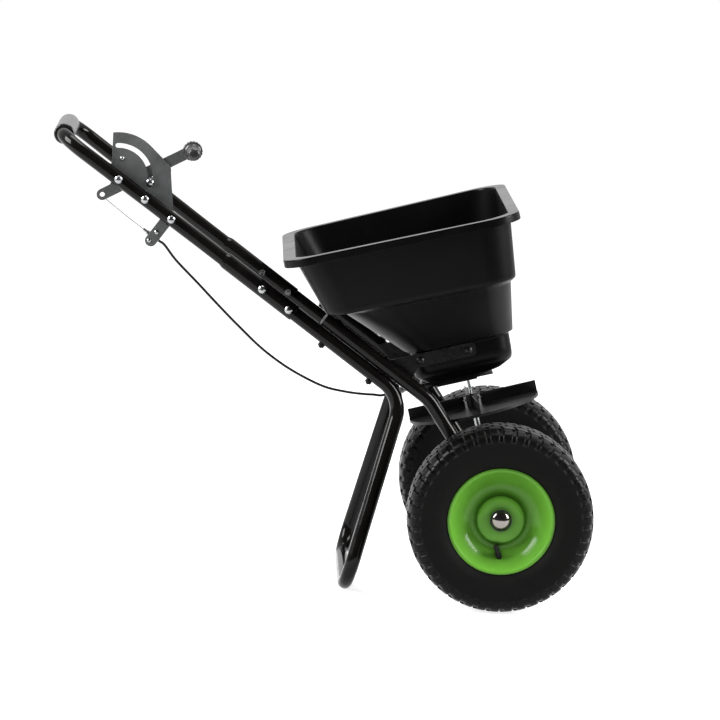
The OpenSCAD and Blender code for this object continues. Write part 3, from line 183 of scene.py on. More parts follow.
def with_painted_shade(tree, colour, left):
    """The colour, darkened as painted shade where ambient occlusion finds surfaces close by: only the share left stays
    in the narrowest places.
    """
    closed = node(tree, "ShaderNodeAmbientOcclusion", samples=PAINTED_SHADE_SAMPLES)
    closed.inputs["Distance"].default_value = PAINTED_SHADE_REACH
    share = map_range(tree, closed.outputs["AO"], PAINTED_SHADE_CLOSED, PAINTED_SHADE_OPEN, left, 1.0)
    shaded_colour = node(tree, "ShaderNodeVectorMath", operation="SCALE")
    tree.links.new(colour, shaded_colour.inputs[0])
    tree.links.new(share, shaded_colour.inputs["Scale"])
    return shaded_colour.outputs["Vector"]


def finish(name, base, rough, metallic=0.0, specular=0.5, spread=0.25, patch=22.0, patch_rough=0.05,
           grain=900.0, grain_height=0.02, wear=None, cells=0.0, painted_shade=None, zone=None):
    """A procedural finish: colour and gloss vary in soft patches, and a fine grain lifts the surface.

    spread is how far the patches depart from the base colour, and patch_rough from its roughness. patch, grain and
    cells are scales, about so many to a metre, and cells takes the grain's place. grain_height is in millimetres.
    wear is the colour of rubbed edges, and painted_shade how much of the colour stays in the narrowest places, where
    ambient occlusion paints shade. zone gives another roughness far from the axle, or high up the hopper: the measure,
    where it begins, where it is full, and the roughness there.
    """
    material = bpy.data.materials.new(name)
    material.use_nodes = True
    tree = material.node_tree
    tree.nodes.clear()
    link = tree.links.new
    out = node(tree, "ShaderNodeOutputMaterial")
    shader = node(tree, "ShaderNodeBsdfPrincipled")
    shader.inputs["Metallic"].default_value = metallic
    shader.inputs["Specular IOR Level"].default_value = specular
    link(shader.outputs[0], out.inputs[0])
    place = node(tree, "ShaderNodeTexCoord").outputs["Object"]

    soft = node(tree, "ShaderNodeTexNoise", Scale=patch, Detail=PATCH_DETAIL, Roughness=PATCH_ROUGHNESS)
    link(place, soft.inputs["Vector"])
    patches = soft.outputs["Fac"]
    shade = node(tree, "ShaderNodeValToRGB")
    low, high = shade.color_ramp.elements
    low.position, high.position = PATCH_DARK, PATCH_LIGHT
    low.color = [c * (1 - spread) for c in base] + [1]
    high.color = [min(1.0, c * (1 + spread)) for c in base] + [1]
    link(patches, shade.inputs["Fac"])
    colour = shade.outputs["Color"]
    if wear is not None:
        colour = with_wear(tree, colour, patches, wear)
    # painted shade: the colour is darkened in narrow places
    if painted_shade is not None:
        colour = with_painted_shade(tree, colour, painted_shade)
    link(colour, shader.inputs["Base Color"])

    smoothest, roughest = max(LEAST_ROUGHNESS, rough - patch_rough), rough + patch_rough
    roughness = map_range(tree, patches, PATCH_GLOSSY, PATCH_MATT, smoothest, roughest)
    if zone:
        measure, begin, full, level = zone
        change = zone_change(tree, place, measure, begin, full, level - rough)
        roughness = math_of(tree, "ADD", roughness, change)
    link(roughness, shader.inputs["Roughness"])

    if cells:
        fine = node(tree, "ShaderNodeTexVoronoi", Scale=cells)
        height = fine.outputs["Distance"]
    else:
        fine = node(tree, "ShaderNodeTexNoise", Scale=grain, Detail=GRAIN_DETAIL)
        height = fine.outputs["Fac"]
    link(place, fine.inputs["Vector"])
    bump = node(tree, "ShaderNodeBump")
    bump.inputs["Strength"].default_value = GRAIN_STRENGTH
    bump.inputs["Distance"].default_value = grain_height / 1000
    link(height, bump.inputs["Height"])
    link(bump.outputs[0], shader.inputs["Normal"])
    return material


def grey(value):
    """A neutral colour that is a little blue."""
    return (value, value, value * 1.02)


LOOKS = {
    "frame_paint": {"base": (0.0034, 0.003, 0.0028), "rough": 0.13, "specular": 0.13, "spread": 0.3,
                    "grain": 260, "grain_height": 0.015},
    "plate_paint": {"base": (0.038, 0.041, 0.042), "rough": 0.42, "specular": 0.3, "spread": 0.3,
                    "grain": 700, "grain_height": 0.03, "wear": (0.12, 0.12, 0.12)},
    "zinc": {"base": (0.27, 0.275, 0.28), "rough": 0.27, "metallic": 1, "spread": 0.15,
             "patch": 90, "patch_rough": 0.09, "grain": 1400, "grain_height": 0.015},
    "steel": {"base": (0.36, 0.37, 0.38), "rough": 0.34, "metallic": 1, "spread": 0.2,
              "patch": 70, "patch_rough": 0.1, "grain": 1200},
    "chrome": {"base": (0.2, 0.183, 0.172), "rough": 0.14, "metallic": 1, "spread": 0.05,
               "patch": 120, "patch_rough": 0.03, "grain": 500, "grain_height": 0.003},
    "hopper_plastic": {"base": grey(0.0018), "rough": 0.36, "specular": 0.07, "spread": 0.22,
                       "zone": ("hopper", 0.5215, 0.523, 0.16), "patch": 14, "grain": 1500,
                       "wear": (0.012, 0.012, 0.012)},
    "disc_plastic": {"base": grey(0.003), "rough": 0.4, "specular": 0.15, "grain": 1100,
                     "grain_height": 0.006, "wear": (0.03, 0.03, 0.03)},
    "case_plastic": {"base": grey(0.006), "rough": 0.4, "specular": 0.2, "grain": 1300, "grain_height": 0.03},
    "nylon": {"base": (0.62, 0.62, 0.58), "rough": 0.4, "spread": 0.06},
    "knob_plastic": {"base": grey(0.018), "rough": 0.3, "specular": 0.4, "spread": 0.3, "patch": 60,
                     "grain": 1500, "wear": (0.03, 0.03, 0.03)},
    "foam": {"base": (0.008, 0.0075, 0.0072), "rough": 0.27, "patch": 60, "patch_rough": 0.04,
             "cells": 620, "grain_height": 0.03},
    "rubber": {"base": grey(0.004), "rough": 0.45, "specular": 0.2, "spread": 0.3, "patch": 120,
               "grain": 1200, "grain_height": 0.03},
    "cable_jacket": {"base": grey(0.004), "rough": 0.34, "specular": 0.25, "spread": 0.3},
    "tyre_rubber": {"base": (0.0022, 0.0021, 0.002), "rough": 0.72, "specular": 0.09, "spread": 0.35,
                    "zone": ("axle", 0.14, 0.15, 0.33), "patch": 26, "patch_rough": 0.07,
                    "grain": 700, "grain_height": 0.05, "wear": (0.014, 0.012, 0.011)},
    # the green is darkened in the valley round the boss and other narrow places: painted shade
    "rim_green": {"base": (0.105, 0.3, 0.031), "rough": 0.15, "specular": 0.13, "painted_shade": 0.22,
                  "spread": 0.08, "patch": 16, "patch_rough": 0.04, "grain": 240, "grain_height": 0.012},
    "dark_metal": {"base": grey(0.012), "rough": 0.3, "metallic": 0.6, "specular": 0.3, "spread": 0.3,
                  "patch": 90, "grain": 1200},
}
FINISH = {name: finish(name, **looks) for name, looks in LOOKS.items()}
slot_of = {part["node"]: part["material_slot"] for part in frame["record"]["subparts"]}
# nodes given a dark, partly metallic finish instead of the paint or plating that their slots name
DARK_METAL_PARTS = ("hopper_bolts", "frame_bolts", "floor_plate", "shutter", "shutter_guides",
             "hopper_bracket_right", "hopper_bracket_left", "hub_washers")
for name, obj in frame["nodes"].items():
    material = FINISH["dark_metal" if name in DARK_METAL_PARTS else slot_of[name]]
    if not obj.material_slots:
        obj.data.materials.append(material)
    for own in obj.material_slots:
        own.material = material

# ------------------------------------------------------------------ building meshes

SHARP = math.radians(38)
BEND_STEP = math.radians(5)
WHEELS = ((-1, "right", "axle"), (1, "left", "free_wheel"))
X, Y = Vector((1, 0, 0)), Vector((0, 1, 0))


class Shape:
    """Rings of points joined into surfaces, all in one mesh."""

    def __init__(self):
        self.verts, self.faces = [], []

    def skin(self, rings, loop=False, capped=False):
        """Joins neighbouring rings, each closed on itself, and the last to the first for a loop."""
        starts = []
        for ring in rings:
            starts.append(len(self.verts))
            self.verts += ring
        pairs = list(zip(range(len(rings)), range(1, len(rings))))
        if loop:
            pairs.append((len(rings) - 1, 0))
        for a, b in pairs:
            sa, sb, na, nb = starts[a], starts[b], len(rings[a]), len(rings[b])
            count = max(na, nb)
            for k in range(count):
                j = (k + 1) % count
                if na == 1:
                    self.faces.append((sa, sb + j, sb + k))
                elif nb == 1:
                    self.faces.append((sa + k, sa + j, sb))
                else:
                    self.faces.append((sa + k, sa + j, sb + j, sb + k))
        if capped:
            for i in (0, -1):
                self.faces.append(tuple(range(starts[i], starts[i] + len(rings[i]))))
        return self

    def lathe(self, profile, origin, axis, ref, n, loop=False, radius=None):
        """Turns the profile, points (radius, place along the axis), about the axis. radius may change it by angle."""
        axis, ref = axis.normalized(), (ref - axis * ref.dot(axis) / axis.length_squared).normalized()
        side = axis.cross(ref)
        rings = []
        for r, z in profile:
            centre = origin + axis * (z / 1000)
            if r < 1e-6:
                rings.append([centre])
                continue
            ring = []
            for k in range(n):
                t = 2 * math.pi * k / n
                size = radius(t, r, z) if radius else r
                ring.append(centre + (ref * math.cos(t) + side * math.sin(t)) * (size / 1000))
            rings.append(ring)
        return self.skin(rings, loop=loop)

    def sweep(self, path, r, n, loop=False, end=None):
        """A round bar of radius r along the path. end may shift the last ring's points, given their offsets."""
        count = len(path)
        tangents = []
        for i in range(count):
            after = path[(i + 1) % count if loop else min(i + 1, count - 1)]
            before = path[i - 1 if loop or i else 0]
            tangents.append((after - before).normalized())
        seed = Vector((0, 1, 0)) if abs(tangents[0].y) < 0.8 else Vector((0, 0, 1))
        side = (seed - tangents[0] * seed.dot(tangents[0])).normalized()
        rings = []
        for i, (p, t) in enumerate(zip(path, tangents)):
            side = (side - t * side.dot(t)).normalized()
            up = t.cross(side)
            size = (r[i] if isinstance(r, list) else r) / 1000
            ring = []
            for k in range(n):
                a = 2 * math.pi * k / n
                offset = (side * math.cos(a) + up * math.sin(a)) * size
                ring.append(p + offset + (end(t, offset) if end and i == count - 1 else Vector()))
            rings.append(ring)
        return self.skin(rings, loop=loop, capped=not loop)

    def make(self, name, slot, body=None, stands_for=(), sharp=SHARP, weighted=True):
        """The object, with its finish, the body it rides on and the nodes it stands for."""
        mesh = bpy.data.meshes.new(name)
        mesh.from_pydata([tuple(v) for v in self.verts], [], self.faces)
        mesh.validate()
        edit = bmesh.new()
        edit.from_mesh(mesh)
        bmesh.ops.remove_doubles(edit, verts=edit.verts, dist=1e-7)
        bmesh.ops.recalc_face_normals(edit, faces=edit.faces)
        for face in edit.faces:
            face.smooth = True
        for edge in edit.edges:
            edge.smooth = edge.calc_face_angle(0.0) < sharp
        edit.to_mesh(mesh)
        edit.free()
        mesh.materials.append(FINISH[slot])
        obj = bpy.data.objects.new(name, mesh)
        bpy.context.scene.collection.objects.link(obj)
        if weighted:
            even = obj.modifiers.new("even_normals", "WEIGHTED_NORMAL")
            even.keep_sharp = True
        if body:
            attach(obj, body)
        if stands_for:
            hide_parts(*stands_for)
        return obj


def rounded(points, cut, n):
    """The same open line of points with each inner corner rounded off, cut millimetres to each side.

    cut may give a length for each corner by its number, and n is the number of steps in a corner.
    """
    out = [tuple(points[0])]
    for i in range(1, len(points) - 1):
        a, b, c = points[i - 1], points[i], points[i + 1]
        size = cut[i] if isinstance(cut, dict) else cut
        before, after = math.dist(a, b), math.dist(b, c)
        k0, k1 = min(size, before * 0.45) / before, min(size, after * 0.45) / after
        p = [q + (w - q) * k0 for q, w in zip(b, a)]
        r = [q + (w - q) * k1 for q, w in zip(b, c)]
        for j in range(n + 1):
            t = j / n
            out.append(tuple((1 - t) ** 2 * x + 2 * t * (1 - t) * y + t * t * z for x, y, z in zip(p, b, r)))
    out.append(tuple(points[-1]))
    return out


def rounded_loop(points, cut, n):
    """The same for a closed line."""
    closed = [points[-1], *points, points[0]]
    return rounded(closed, cut, n)[1:-1]


def bent(points, radii):
    """The line through the points, with a bend of the given radius at each inner one."""
    out = [points[0]]
    for a, b, c, r in zip(points, points[1:], points[2:], radii):
        go, leave = (b - a).normalized(), (c - b).normalized()
        turn = go.angle(leave)
        side = (leave - go * go.dot(leave)).normalized()
        r /= 1000
        mid = b - go * (r * math.tan(turn / 2)) + side * r
        m = max(2, math.ceil(turn / BEND_STEP))
        out += [mid - side * (r * math.cos(turn * k / m)) + go * (r * math.sin(turn * k / m)) for k in range(m + 1)]
    return out + [points[-1]]


def smooth_line(points, k):
    """A smooth line through the points, k steps to each span."""
    out = []
    for i in range(len(points) - 1):
        a, b = points[max(i - 1, 0)], points[i]
        c, d = points[i + 1], points[min(i + 2, len(points) - 1)]
        for j in range(k):
            t = j / k
            out.append((b * 2 + (c - a) * t + (a * 2 - b * 5 + c * 4 - d) * t**2 + (b * 3 - a - c * 3 + d) * t**3) / 2)
    return out + [points[-1]]


def unit(a, b):
    """The direction from one point to another."""
    return (b - a).normalized()


ALONG = unit(on_handle(0, 0, 1), on_handle(100, 0, 1))
ACROSS = unit(on_handle(0, 0, 1), on_handle(0, 100, 1))
HOPPER_UP = unit(from_hopper(0, 0, 0), from_hopper(0, 0, 100))
LEVER_Y = unit(from_lever(0, 0, 0), from_lever(0, 100, 0))

# ------------------------------------------------------------------ handle, stand and chassis

ROUND = 48  # sides of a tube
KINK_BEND, BAR_BEND = 200, 45
GRIP_R, GRIP_HALF = 18.5, 105
FOOT_BACK, FOOT_HALF, STAND_BEND, FOOT_BEND = 79.6, 187, 60, 50
CHASSIS_CORNER_S, CHASSIS_BEND = -41, 80
SLEEVE_R, SLEEVE_HALF, SLEEVE_BORE, SADDLE_DEPTH = 16.0, 15.0, 12.05, 1.5
BEAD_R, BEAD_WAVE, BEAD_PITCH, BEAD_GAP = 1.5, 0.25, 2.1, 0.3

bar = Shape()
right_tube = [on_handle(s, 0, -1) for s in (PLUG_S + 1, KINK_S, BAR_S)]
left_tube = [on_handle(s, 0, 1) for s in (BAR_S, KINK_S, PLUG_S + 1)]
bar.sweep(bent(right_tube + left_tube, [KINK_BEND, BAR_BEND, BAR_BEND, KINK_BEND]), TUBE_R, n=ROUND)
socket = rounded(
    [(TUBE_R + 0.1, 95), (TUBE_R + 0.1, 0), (SOCKET_R, 0), (SOCKET_R, SOCKET_L), (TUBE_R + 0.05, SOCKET_L + 6),
     (TUBE_R - 0.3, SOCKET_L + 8)],
    {1: 0.5, 2: 0.8, 3: 4, 4: 2}, 4)
for side in (-1, 1):
    bar.lathe(socket, on_handle(SOCKET_S, 0, side), ALONG, Y, n=64)
bar.make("handle_bar", "frame_paint", "frame", ["handlebar"])

grip = Shape()
grip_line = [(TUBE_R + 0.1, -GRIP_HALF), (GRIP_R, -GRIP_HALF), (GRIP_R, GRIP_HALF), (TUBE_R + 0.1, GRIP_HALF)]
grip.lathe(rounded(grip_line, 5, 6), on_handle(BAR_S, 0, -1) + Y * (BAR_HALF / 1000), Y, X, n=72)
grip.make("foam_grip", "foam", "frame", ["grip"])

stand = Shape()
foot_x = -CORNER_BACK - FOOT_BACK
stand_line = [on_handle(PLUG_S, 0, -1), on_handle(0, 0, -1), machine(foot_x, -FOOT_HALF, TUBE_R),
              machine(foot_x, FOOT_HALF, TUBE_R), on_handle(0, 0, 1), on_handle(PLUG_S, 0, 1)]
stand.sweep(bent(stand_line, [STAND_BEND, FOOT_BEND, FOOT_BEND, STAND_BEND]), TUBE_R, n=ROUND)
stand.make("stand", "frame_paint", "frame", ["stand_tube"])


def saddle(direction, offset):
    """Brings the end of the chassis tube onto the sleeve that it is welded to."""
    across = offset - Y * offset.dot(Y)
    short = math.sqrt(max(0.0, (SLEEVE_R - SADDLE_DEPTH) ** 2 - (across.length * 1000) ** 2)) / 1000
    return direction * -short


for side, word in ((-1, "right"), (1, "left")):
    chassis = Shape()
    end = machine(0, side * TUBE_HALF, AXLE_Z)
    corners = [on_handle(CHASSIS_S, LAP_N, side), on_handle(CHASSIS_CORNER_S, LAP_N, side), end]
    line = bent(corners, [CHASSIS_BEND])
    chassis.sweep(line, TUBE_R, n=ROUND, end=saddle)
    sleeve = [(SLEEVE_BORE, -SLEEVE_HALF), (SLEEVE_R, -SLEEVE_HALF), (SLEEVE_R, SLEEVE_HALF),
              (SLEEVE_BORE, SLEEVE_HALF)]
    chassis.lathe(rounded_loop(sleeve, 0.7, 3), end, Y, X, n=72, loop=True)
    down = (end - line[-2]).normalized()
    ahead = down.cross(Y)
    weld = []
    for k in range(ROUND):
        t = 2 * math.pi * k / ROUND
        h = TUBE_R * math.sin(t)
        drop = math.sqrt(SLEEVE_R**2 - h * h) + BEAD_GAP
        weld.append(end + (Y * (TUBE_R * math.cos(t)) + ahead * h - down * drop) / 1000)
    beads = [BEAD_R + BEAD_WAVE * math.sin(k * BEAD_PITCH) for k in range(ROUND)]
    chassis.sweep(weld, beads, n=10, loop=True)
    chassis.make("chassis_" + word, "frame_paint", "frame", ["chassis_tube_" + word])

# ------------------------------------------------------------------ wheels

TYRE_R, TYRE_HALF, RIM_R, RIM_HALF = 165.0, 63.5, 95.0, 50.5
SEAT_R = 86.5
LUGS = 42
TREAD_R = 140  # the tread is outside this radius, and the plain wall inside it
LUG_STEPS, WALL_STEPS, TREAD_STEP = 16, 4, 1.3
MOULD_RINGS = ((101.5, 103, 0.35), (126.5, 128, -0.4))  # from, to, and how far one stands out of the wall
SHOULDER_CUT, SLIT_CUT, CROWN_CUT = 3.0, 1.3, 2.6
OUTER_GROOVE, INNER_GROOVE = 37.5, 14  # from the tyre's middle
LEAN, LEAN_SPAN = 0.16, 24  # how far the cuts across the tyre lean, in pitches, over that width


def step(value, low, high):
    """0 below low and 1 above high, with a smooth rise between them."""
    t = min(1.0, max(0.0, (value - low) / (high - low)))
    return t * t * (3 - 2 * t)


def notch(place, width, soft=0.9):
    """1 in the middle of a groove of that width whose middle is at 0, and 0 beside it."""
    return 1 - step(abs(place), width / 2 - soft / 2, width / 2 + soft / 2)


def tread(angle, r, z):
    """How deep the tread is cut at that place of the tyre."""
    pitch = 2 * math.pi / LUGS
    side = 1 if z > 0 else -1
    along = (angle / pitch + (0.5 if side > 0 else 0.0)) % 1 - 0.5
    across = abs(z)
    shoulder = step(across, 37, 39) * step(r, 141, 145)
    slit = step(r, 146, 150) * step(across, 44, 47)
    crown = 1 - step(across, 38, 39)
    middle_row = 0.5 if across < INNER_GROOVE else 0.0
    lean = LEAN * side * (across - INNER_GROOVE) / LEAN_SPAN
    arc = along * pitch * r
    slit_arc = ((along + 0.5) % 1 - 0.5) * pitch * r
    block_arc = ((along + middle_row + lean + 0.5) % 1 - 0.5) * pitch * r
    return max(
        SHOULDER_CUT * shoulder * notch(arc, 9.0, 2.2),
        SLIT_CUT * slit * notch(slit_arc, 2.2),
        CROWN_CUT * notch(across - OUTER_GROOVE, 2.6),
        CROWN_CUT * notch(across - INNER_GROOVE, 2.4),
        CROWN_CUT * crown * notch(block_arc, 3.4),
    )


def moulded(r):
    """How far a fine ring that moulding leaves on the wall stands out at that radius."""
    return next((rise for low, high, rise in MOULD_RINGS if low < r < high), 0)


outside = [(SEAT_R + 0.1, RIM_HALF - 22), (SEAT_R + 0.1, RIM_HALF - 8.2), (RIM_R - 7.4, RIM_HALF - 5.7),
           (RIM_R - 5.4, RIM_HALF - 4.2), (RIM_R + 0.6, RIM_HALF - 3.4), (RIM_R + 1.5, RIM_HALF + 1),
           (RIM_R + 6, RIM_HALF + 5), (RIM_R + 13, TYRE_HALF - 3.6), (RIM_R + 22, TYRE_HALF - 1.1),
           (RIM_R + 33, TYRE_HALF), (TYRE_R - 24, TYRE_HALF - 0.8), (TYRE_R - 14, TYRE_HALF - 3.8),
           (TYRE_R - 8.5, TYRE_HALF - 7.5), (TYRE_R - 5, TYRE_HALF - 13), (TYRE_R - 2, TYRE_HALF - 24),
           (TYRE_R - 0.5, TYRE_HALF - 42), (TYRE_R, 0)]
fine = smooth_line([Vector((r, z, 0)) for r, z in outside], WALL_STEPS)
spaced = [fine[0]]
for p in fine[1:]:
    gap = (p - spaced[-1]).length
    m = max(1, math.ceil(gap / TREAD_STEP)) if p.x > TREAD_R else 1
    spaced += [spaced[-1].lerp(p, (k + 1) / m) for k in range(m)]
half_line = [(p.x, p.y + moulded(p.x)) for p in spaced]
tyre_line = half_line + [(r, -z) for r, z in reversed(half_line[:-1])]
AROUND = LUGS * LUG_STEPS


def tyre_ring(side, r, z, inward):
    """One ring of a tyre, with the tread cut along inward, which is given as radius and place along the axle."""
    centre = machine(0, side * (WHEEL_Y + z), AXLE_Z)
    ring = []
    for k in range(AROUND):
        t = 2 * math.pi * k / AROUND
        deep = tread(t, r, z) if r > TREAD_R else 0.0
        place = (r + inward[0] * deep) / 1000
        ring.append(centre + Vector((math.cos(t) * place, side * inward[1] * deep / 1000, math.sin(t) * place)))
    return ring


for side, word, body in WHEELS:
    tyre = Shape()
    rings = []
    for i, (r, z) in enumerate(tyre_line):
        a, b = tyre_line[max(i - 1, 0)], tyre_line[min(i + 1, len(tyre_line) - 1)]
        along = Vector((b[0] - a[0], b[1] - a[1])).normalized()
        rings.append(tyre_ring(side, r, z, (along.y, -along.x)))
    tyre.skin(rings)
    tyre.make("tyre_dressed_" + word, "tyre_rubber", body, ["tyre_" + word], weighted=False)

VALLEY_R, BOSS_R, HUB_R, HUB_HALF, BORE_R, RIM_T = 52.0, 42.0, 20.0, 35.0, 12.0, 2.5
VALLEY_Y = RIM_HALF - 31.5
BOSS_Y = VALLEY_Y + 9.5


def dish(t, drop):
    """A point of the rim's dish, from 0 at the valley to 1 at the edge, drop below its face."""
    return (VALLEY_R + (RIM_R - 7 - VALLEY_R) * t, VALLEY_Y - drop + (RIM_HALF - 1.5 - VALLEY_Y) * t**1.7)


face_line = rounded(
    [(BORE_R, HUB_HALF), (HUB_R, HUB_HALF), (HUB_R, BOSS_Y), (BOSS_R - 5, BOSS_Y), (BOSS_R - 0.5, BOSS_Y - 1.6),
     (BOSS_R + 2.2, VALLEY_Y + BOSS_Y * 0.12), (BOSS_R + 6, VALLEY_Y + 0.3)]
    + [dish(t / 20, 0) for t in range(1, 21)]
    + [(RIM_R - 3.5, RIM_HALF), (RIM_R, RIM_HALF - 0.6), (RIM_R, RIM_HALF - 3.2), (RIM_R - 5.5, RIM_HALF - 4)],
    {**{i: 1.0 for i in range(40)}, 2: 1.2, 3: 3.0, 4: 1.8, 5: 1.8, 6: 2.0, 27: 2.4, 28: 0.8, 29: 0.8}, 4)
back_line = rounded(
    [(RIM_R - 5.5, RIM_HALF - 4), (RIM_R - 7.5, RIM_HALF - 5.5), (SEAT_R, RIM_HALF - 8), (SEAT_R, 0.05),
     (SEAT_R - RIM_T, 0.05), (SEAT_R - RIM_T, dish(0.84, RIM_T)[1])]
    + [dish(t / 10, RIM_T + 0.8) for t in range(8, -1, -1)]
    + [(BOSS_R + 2.5, VALLEY_Y - RIM_T), (BOSS_R - 2.5, BOSS_Y - RIM_T - 1.5), (BOSS_R - 7, BOSS_Y - RIM_T),
       (BORE_R + 4, BOSS_Y - RIM_T), (BORE_R + 4, 0.05), (BORE_R, 0.05)],
    1.0, 2)
rim_line = face_line + back_line[1:]
for side, word, body in WHEELS:
    for half, facing in (("outer", 1), ("inner", -1)):
        rim = Shape()
        rim.lathe(rim_line, machine(0, side * WHEEL_Y, AXLE_Z), Y * side * facing, X, n=160, loop=True)
        rim.make(f"rim_{half}_dressed_{word}", "rim_green", body, [f"rim_{half}_{word}"])

VALVE_DROP = 67
VALVE_BASE = Vector((2, -VALVE_DROP, dish((VALVE_DROP - VALLEY_R) / (RIM_R - 7 - VALLEY_R), 0)[1]))
VALVE_DIR = Vector((-8, 22, 12)).normalized()
valve_line = rounded(
    [(0, -8), (4.9, -8), (4.9, 3.0), (4.7, 13.5), (3.6, 15.6), (4.4, 16.8), (4.4, 24.2), (3, 26), (0, 26)],
    {1: 0.5, 2: 1.0, 3: 2, 4: 0.5, 5: 0.5, 6: 1.2, 7: 0.8}, 4)


def ribbed(angle, r, z):
    """The radius of a valve, whose cap has 16 ribs."""
    return r - (0.25 * (0.5 + 0.5 * math.cos(16 * angle)) if z > 17.5 and r > 3 else 0)


for side, word, body in WHEELS:
    base = at_wheel(side, *VALVE_BASE)
    lean = (at_wheel(side, *(VALVE_BASE + VALVE_DIR * 10)) - base).normalized()
    valve = Shape()
    valve.lathe(valve_line, base, lean, X, n=48, radius=ribbed)
    valve.make("valve_dressed_" + word, "rubber", body, ["valve_" + word])

caps = Shape()
CAP_R, CAP_RISE, CAP_RINGS, CAP_GAP = 16.5, 7.0, 14, 1.6
cap_ball = (CAP_R**2 + CAP_RISE**2) / (2 * CAP_RISE)
cap_line = [(8.2, 0), (CAP_R - 0.4, 0), (CAP_R, 0.4), (CAP_R, 1.8)]
for k in range(1, CAP_RINGS + 1):
    r = CAP_R * (1 - k / CAP_RINGS)
    cap_line.append((r, 2 + math.sqrt(cap_ball**2 - r * r) - (cap_ball - CAP_RISE)))
for side in (-1, 1):
    caps.lathe(cap_line, machine(0, side * (WHEEL_Y + HUB_HALF + CAP_GAP), AXLE_Z), Y * side, X, n=128)
caps.make("cap_domes", "chrome", "axle", ["hub_caps"])

# ------------------------------------------------------------------ hopper

THROAT_HALF, STEP_LOW_W, STEP_HIGH_W, RIM_W = 114.0, 301.0, 406.5, 524.5
WALL, FLANGE, LIP = 3.5, 16.0, 14.0
RIM_REAR, RIM_FRONT, RIM_HALF_REAR, RIM_HALF_FRONT = 276.0, 147.0, 245.0, 280.0
PADS, PAD_R, PAD_W = ((-77.5, 15), (10, 6.5)), 11, 286.8  # each pad's place along the hopper and its depth
OPENINGS = ((-30, -24, 12.0), (-30, 24, 12.0), (0, 0, 7.06))  # two outlets and the shaft's hole, with their radii
CORNER_STEPS = 10
HELD = (0.03, 0.25, 0.5, 0.75, 0.97)  # where the straight sides of a ring have points

# each ring's height, rear, front, half width at the rear and at the front, front corners' radius, and the rear
# corners' radius where that is another
walls = [
    (BASE_W, -60, 18, 58, 58, 24),
    (BASE_W + 10, -76, 62, 82, 82, 28),
    (BASE_W + 24, -92, 84, THROAT_HALF - 8, THROAT_HALF - 8, 32),
    (BASE_W + 32, -93, 86, THROAT_HALF - 2, THROAT_HALF - 2, 32),
    (BASE_W + 42, -93, 87, THROAT_HALF, THROAT_HALF, 32),
    (STEP_LOW_W - 2, -92, 88, THROAT_HALF, THROAT_HALF, 32),
    (STEP_LOW_W + 2, -102, 96, THROAT_HALF + 12, THROAT_HALF + 12, 36, 58),
    (STEP_HIGH_W - 5, -194, 108, 192, 232, 42, 90),
    (STEP_HIGH_W + 3, -222, 118, 217, 252, 48),
    (RIM_W - WALL, -RIM_REAR + FLANGE + WALL, RIM_FRONT - FLANGE, RIM_HALF_REAR - FLANGE, RIM_HALF_FRONT - FLANGE, 52),
]
walls = [(*q, q[5])[:7] for q in walls]
rim_edge = (RIM_W - LIP, -RIM_REAR, RIM_FRONT, RIM_HALF_REAR, RIM_HALF_FRONT, 55, 55)


def inset(q, g, dw):
    """A ring's numbers moved g inwards and dw up."""
    return (q[0] + dw, q[1] + g, q[2] - g, q[3] - g, q[4] - g, q[5] - g * 0.6, q[6] - g * 0.6)


def hopper_ring(w, rear, front, half_rear, half_front, r, rr):
    """A ring of the hopper with round corners, and with points held on its straight sides."""
    corners = [(front - r, half_front - r, 0, r), (rear + rr, half_rear - rr, 90, rr),
               (rear + rr, -half_rear + rr, 180, rr), (front - r, -half_front + r, 270, r)]
    flat = []
    for cx, cy, start, size in corners:
        for i in range(CORNER_STEPS + 1):
            a = math.radians(start + 90 * i / CORNER_STEPS)
            flat.append((cx + size * math.cos(a), cy + size * math.sin(a)))
    out = []
    for i, p in enumerate(flat):
        out.append(from_hopper(p[0], p[1], w))
        if i % (CORNER_STEPS + 1) == CORNER_STEPS:
            q = flat[(i + 1) % len(flat)]
            for t in HELD:
                out.append(from_hopper(p[0] + (q[0] - p[0]) * t, p[1] + (q[1] - p[1]) * t, w))
    return out


outer = rounded(
    walls
    + [inset(rim_edge, WALL, LIP - WALL), inset(rim_edge, WALL, 0), rim_edge, (rim_edge[0] + LIP, *rim_edge[1:]),
       inset(walls[9], WALL, WALL)]
    + [inset(walls[i], WALL, WALL if i in (0, 1) else WALL * (0.7 if i == 7 else 0.8)) for i in range(8, -1, -1)],
    {**{i: 6 for i in range(1, 9)}, 1: 6, 2: 6, 5: 2.5, 6: 4, 7: 5, 8: 9, 9: 2, 10: 1.2, 11: 0.9, 12: 0.9, 13: 3.0,
     14: 4.0, 15: 8, 16: 5, 17: 4, 18: 2.5, **{i: 6 for i in range(19, 24)}}, 5)
tub = Shape()
tub.skin([hopper_ring(*q) for q in outer], capped=True)
for u, deep in PADS:
    for side in (-1, 1):
        pad = rounded([(0, 0), (PAD_R, 0), (PAD_R, deep), (0, deep)], 0.8, 3)
        tub.lathe(pad, from_hopper(u, side * (THROAT_HALF - 0.1), PAD_W), Y * -side, X, n=48)
hopper = tub.make("hopper_dressed", "hopper_plastic", stands_for=["hopper"], sharp=math.radians(50))

holes = Shape()
for u, v, r in OPENINGS:
    holes.lathe([(0, -5), (r, -5), (r, 15), (0, 15)], from_hopper(u, v, BASE_W), HOPPER_UP, Y, n=64)
cutter = holes.make("hopper_holes", "hopper_plastic", weighted=False)
cut = hopper.modifiers.new("holes", "BOOLEAN")
cut.object = cutter
cut.solver = "EXACT"
hopper.modifiers.move(1, 0)
bpy.context.view_layer.update()
cut_mesh = bpy.data.meshes.new_from_object(hopper.evaluated_get(bpy.context.evaluated_depsgraph_get()))
hopper.modifiers.clear()
hopper.data = cut_mesh
bpy.data.objects.remove(cutter)
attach(hopper, "frame")

# ------------------------------------------------------------------ control

